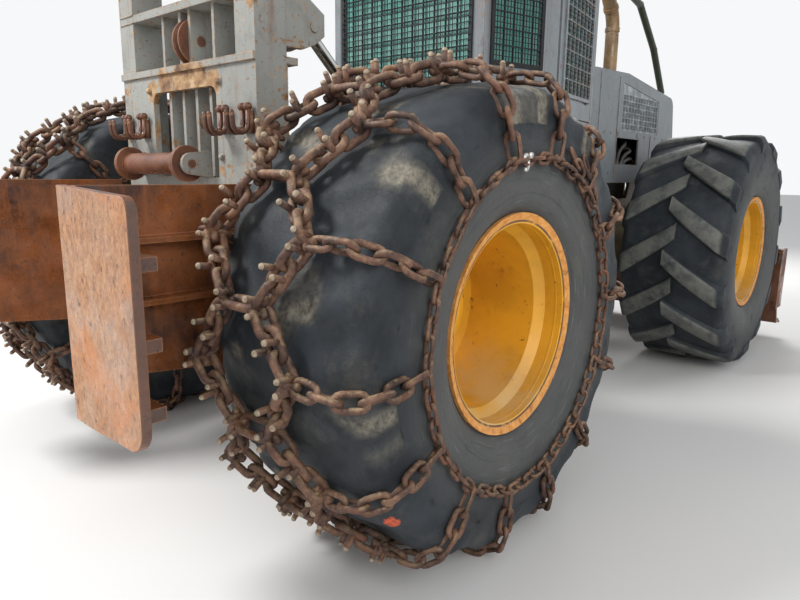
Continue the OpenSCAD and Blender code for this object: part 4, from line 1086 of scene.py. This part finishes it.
def channel_wings():
    """The flared wings at the channel's rear, with the stub ribs in front of them."""
    b = Buffer()
    x0, x1 = -3.0478, -3.0142
    outline = [(0.603, 0.662), (0.720, 0.658)] + arc(0.986, 0.742, 0.080, -84, 0)
    outline += arc(1.024, 1.388, 0.042, 0, 86) + [(0.640, 1.450), (0.603, 1.452)]
    for s in (1, -1):
        plate(b, outline, s, x0, x1, 0.003)
        y0, y1 = sorted((s * 0.63, s * 1.000))
        for z in (1.205, 0.955, 0.735):
            b.box((x1 - 0.002, y0, z), (-2.930, y1, z + 0.044))
    b.piece("channel_wings", "rear", "plate_rust", "rusty_steel", smooth=False)


# ---- hood and engine details

HOOD_HALF = 0.600


def hood_fittings():
    """Seams, screws and latches of the hood's side panels."""
    b = Buffer()
    for s in (1, -1):
        y = s * HOOD_HALF
        for x in (0.905, 1.255, 1.985):
            top = 1.845 if x > 1.26 else 2.27
            b.box((x - 0.003, y - 0.004, 1.47), (x + 0.003, y + 0.0015, top))
        for x in (0.79, 1.02, 1.14, 1.85, 2.10, 2.28):
            for z in (1.52, 1.83):
                b.rod((x, y, z), (x, y + s * 0.004, z), 0.009, sides=12)
        for x in (1.30, 1.70):
            b.box((x - 0.02, min(y, y + s * 0.006), 1.812), (x + 0.02, max(y, y + s * 0.006), 1.848))
    b.piece("hood_fittings", "front", "body_paint", "body_paint", smooth=False)


def grille_mesh():
    """Fine mesh behind the side grilles' coarse bars, under the hood's sloping top."""
    b = Buffer()
    half, step, slope = 0.0012, 0.012, 0.1065
    for s in (1, -1):
        y0, y1 = s * 0.590 - 0.001, s * 0.590 + 0.001
        for i in range(66):
            x = 1.345 + i * step
            top = 2.225 if x < 1.35 else 2.228 - (x - 1.341) * slope
            b.box((x - half, y0, 1.862), (x + half, y1, top - 0.004))
        for i in range(30):
            z = 1.866 + i * step
            x1 = 2.138 if z < 2.143 else 2.138 - (z - 2.143) / slope
            if x1 > 1.36:
                b.box((1.343, y0, z - half), (x1, y1, z + half))
    b.piece("grille_mesh", "front", "mesh_grey", "guard_black", smooth=False)


def grille_shade_sheets():
    """Dark sheets close behind the mesh, standing in as painted shade for the hood's inside."""
    b = Buffer()
    outline = [(1.345, 1.862), (2.136, 1.862), (2.136, 2.138), (1.345, 2.222)]
    for s in (1, -1):
        v = [(x, y, z) for y in sorted((s * 0.574, s * 0.580)) for x, z in outline]
        b.add(v, [(0, 1, 2, 3), (7, 6, 5, 4), (0, 4, 5, 1), (1, 5, 6, 2), (2, 6, 7, 3), (3, 7, 4, 0)])
    b.piece("grille_shade_sheets", "front", "dark_trim", "dark_trim", smooth=False)


# The hoses that show in the open hatch on the right, each from clamp to clamp
HOSES = [[(1.44, -0.540, 1.60), (1.46, -0.545, 1.68), (1.52, -0.545, 1.73), (1.60, -0.535, 1.76),
          (1.66, -0.50, 1.79), (1.68, -0.46, 1.82)],
         [(1.49, -0.550, 1.58), (1.53, -0.552, 1.64), (1.60, -0.552, 1.68), (1.68, -0.548, 1.70),
          (1.73, -0.52, 1.72), (1.76, -0.48, 1.73)],
         [(1.56, -0.540, 1.59), (1.60, -0.545, 1.62), (1.66, -0.545, 1.635), (1.73, -0.540, 1.64),
          (1.78, -0.50, 1.65), (1.80, -0.46, 1.66)]]


def inside_hatch():
    """The filter, the hoses and the engine's side that show in the hatch, with the radiator ahead of them."""
    b = Buffer()
    b.rod((1.36, -0.500, 1.600), (1.36, -0.500, 1.775), 0.048, sides=28)
    b.rod((1.36, -0.500, 1.770), (1.36, -0.500, 1.790), 0.036, sides=28)
    b.piece("oil_filter", "front", "filter_red", "dark_trim")
    b = Buffer()
    for run in HOSES:
        b.tube(smooth_curve(run, 6), 0.013, 12)
        for x, y, z in (run[0], run[-1]):
            b.rod((x, y, z - 0.012), (x, y, z + 0.012), 0.019, sides=6)
    b.piece("engine_hoses", "front", "hose", "dark_trim")
    b = Buffer()
    b.box((1.22, -0.340, 1.46), (1.86, -0.300, 1.850))
    b.box((2.290, -0.570, 1.490), (2.330, 0.570, 2.150))
    b.box((1.28, -0.47, 1.55), (1.74, -0.40, 1.60))
    b.box((1.30, -0.46, 1.60), (1.33, -0.40, 1.80))
    for i in range(9):
        b.box((1.42 + i * 0.034, -0.43, 1.62), (1.434 + i * 0.034, -0.37, 1.79))
    b.rod((1.56, -0.38, 1.66), (1.56, -0.46, 1.66), 0.05, sides=24)
    b.piece("engine_side", "front", "engine_iron", "engine_iron", smooth=False)


# ---- rims

VALVE_DEG = 201.5


def rim_details(end, side):
    """The lock ring in its groove, and the valve."""
    place = wheel_place(end, side)
    edge = RIM_W / 2
    verts, faces, _ = revolve([(0.4015, edge - 0.030), (0.392, edge - 0.036), (0.389, edge - 0.046),
                               (0.394, edge - 0.054)], 96)
    b = Buffer()
    b.add(verts, faces, place)
    b.piece(f"lock_ring_{end}_{side}", f"wheel_{end}_{side}", f"rim_{end}", "rim_yellow")
    b = Buffer()
    for r0, y0, r1, y1, thick in ((0.372, 0.150, 0.350, 0.235, 0.008), (0.351, 0.228, 0.347, 0.262, 0.012)):
        b.rod(place @ polar(r0, y0, VALVE_DEG), place @ polar(r1, y1, VALVE_DEG), thick)
    b.piece(f"valve_{end}_{side}", f"wheel_{end}_{side}", "hook_rust", "rusty_steel")


for i, side in enumerate(SIDES):
    worn_tyre(side, i)
    lugged_tyre(side)
for i, side in enumerate(SIDES):
    chain(side, 11 + i)
    ring_lock(side)
guard_wires()
arch_fittings()
window_corners()
hooks()
rope_on_drum()
channel_welds()
channel_wings()
hood_fittings()
grille_mesh()
grille_shade_sheets()
inside_hatch()
for end in ("front", "rear"):
    for side in SIDES:
        rim_details(end, side)


# ---- stage, light and camera

def stage():
    me = bpy.data.meshes.new("floor")
    h = 60.0
    me.from_pydata([(-h, -h, 0), (h, -h, 0), (h, h, 0), (-h, h, 0)], [], [(0, 1, 2, 3)])
    ob = linked("floor", me)
    m = bpy.data.materials.new("floor")
    m.use_nodes = True
    bsdf = m.node_tree.nodes["Principled BSDF"]
    bsdf.inputs["Base Color"].default_value = (0.72, 0.71, 0.69, 1)
    bsdf.inputs["Roughness"].default_value = 0.9
    me.materials.append(m)


def background(tree, colour, strength):
    n = tree.nodes.new("ShaderNodeBackground")
    n.inputs[0].default_value = colour
    n.inputs[1].default_value = strength
    return n.outputs[0]


def world():
    """A soft sky for the light, and a plain white one for what is seen, mirrored or looked through at."""
    w = bpy.data.worlds.new("studio")
    bpy.context.scene.world = w
    w.use_nodes = True
    t = w.node_tree
    t.nodes.clear()
    out = t.nodes.new("ShaderNodeOutputWorld")
    mix = t.nodes.new("ShaderNodeMixShader")
    path = t.nodes.new("ShaderNodeLightPath")
    seen = path.outputs["Is Camera Ray"]
    for ray in ("Is Glossy Ray", "Is Transmission Ray"):
        either = t.nodes.new("ShaderNodeMath")
        either.operation = "MAXIMUM"
        t.links.new(seen, either.inputs[0])
        t.links.new(path.outputs[ray], either.inputs[1])
        seen = either.outputs[0]
    t.links.new(seen, mix.inputs[0])
    t.links.new(background(t, (0.93, 0.96, 1.0, 1), 0.62), mix.inputs[1])
    t.links.new(background(t, (0.93, 0.94, 0.95, 1), 1.0), mix.inputs[2])
    t.links.new(mix.outputs[0], out.inputs[0])


def lamp(name, place, target, size, power):
    data = bpy.data.lights.new(name, "AREA")
    data.shape = "DISK"
    data.size = size
    data.energy = power
    ob = linked(name, data)
    ob.location = place
    ob.rotation_euler = (Vector(target) - Vector(place)).to_track_quat("-Z", "Y").to_euler()


CAMERA = Vector((-3.875, -2.788, 1.463))
CAMERA_UP = 0.04
YAW, PITCH, ROLL = (math.radians(v) for v in (41.13, 11.31, 0.69))
FOCAL_PX = 637.9
PHOTO_W = 800
SENSOR_W = 36.0


def camera():
    data = bpy.data.cameras.new("camera")
    data.sensor_width = SENSOR_W
    data.lens = FOCAL_PX * SENSOR_W / PHOTO_W
    ob = linked("camera", data)
    ahead = Vector((math.cos(YAW) * math.cos(PITCH), math.sin(YAW) * math.cos(PITCH), -math.sin(PITCH)))
    right = Vector((math.sin(YAW), -math.cos(YAW), 0.0))
    up = right.cross(ahead)
    c, s = math.cos(ROLL), math.sin(ROLL)
    m = Matrix((c * right + s * up, c * up - s * right, -ahead)).transposed().to_4x4()
    m.translation = CAMERA + Vector((0, 0, CAMERA_UP))
    ob.matrix_world = m
    bpy.context.scene.camera = ob


stage()
world()
lamp("key", (-7.5, 3.6, 8.0), (-0.8, 0, 1.0), 3.0, 1050)
lamp("fill", (-4.5, -8.0, 5.0), (-0.5, 0, 1.0), 6.0, 330)
lamp("front", (8.0, 2.0, 6.0), (0.5, 0, 1.0), 5.0, 450)
camera()
bpy.context.scene.view_settings.view_transform = "Standard"
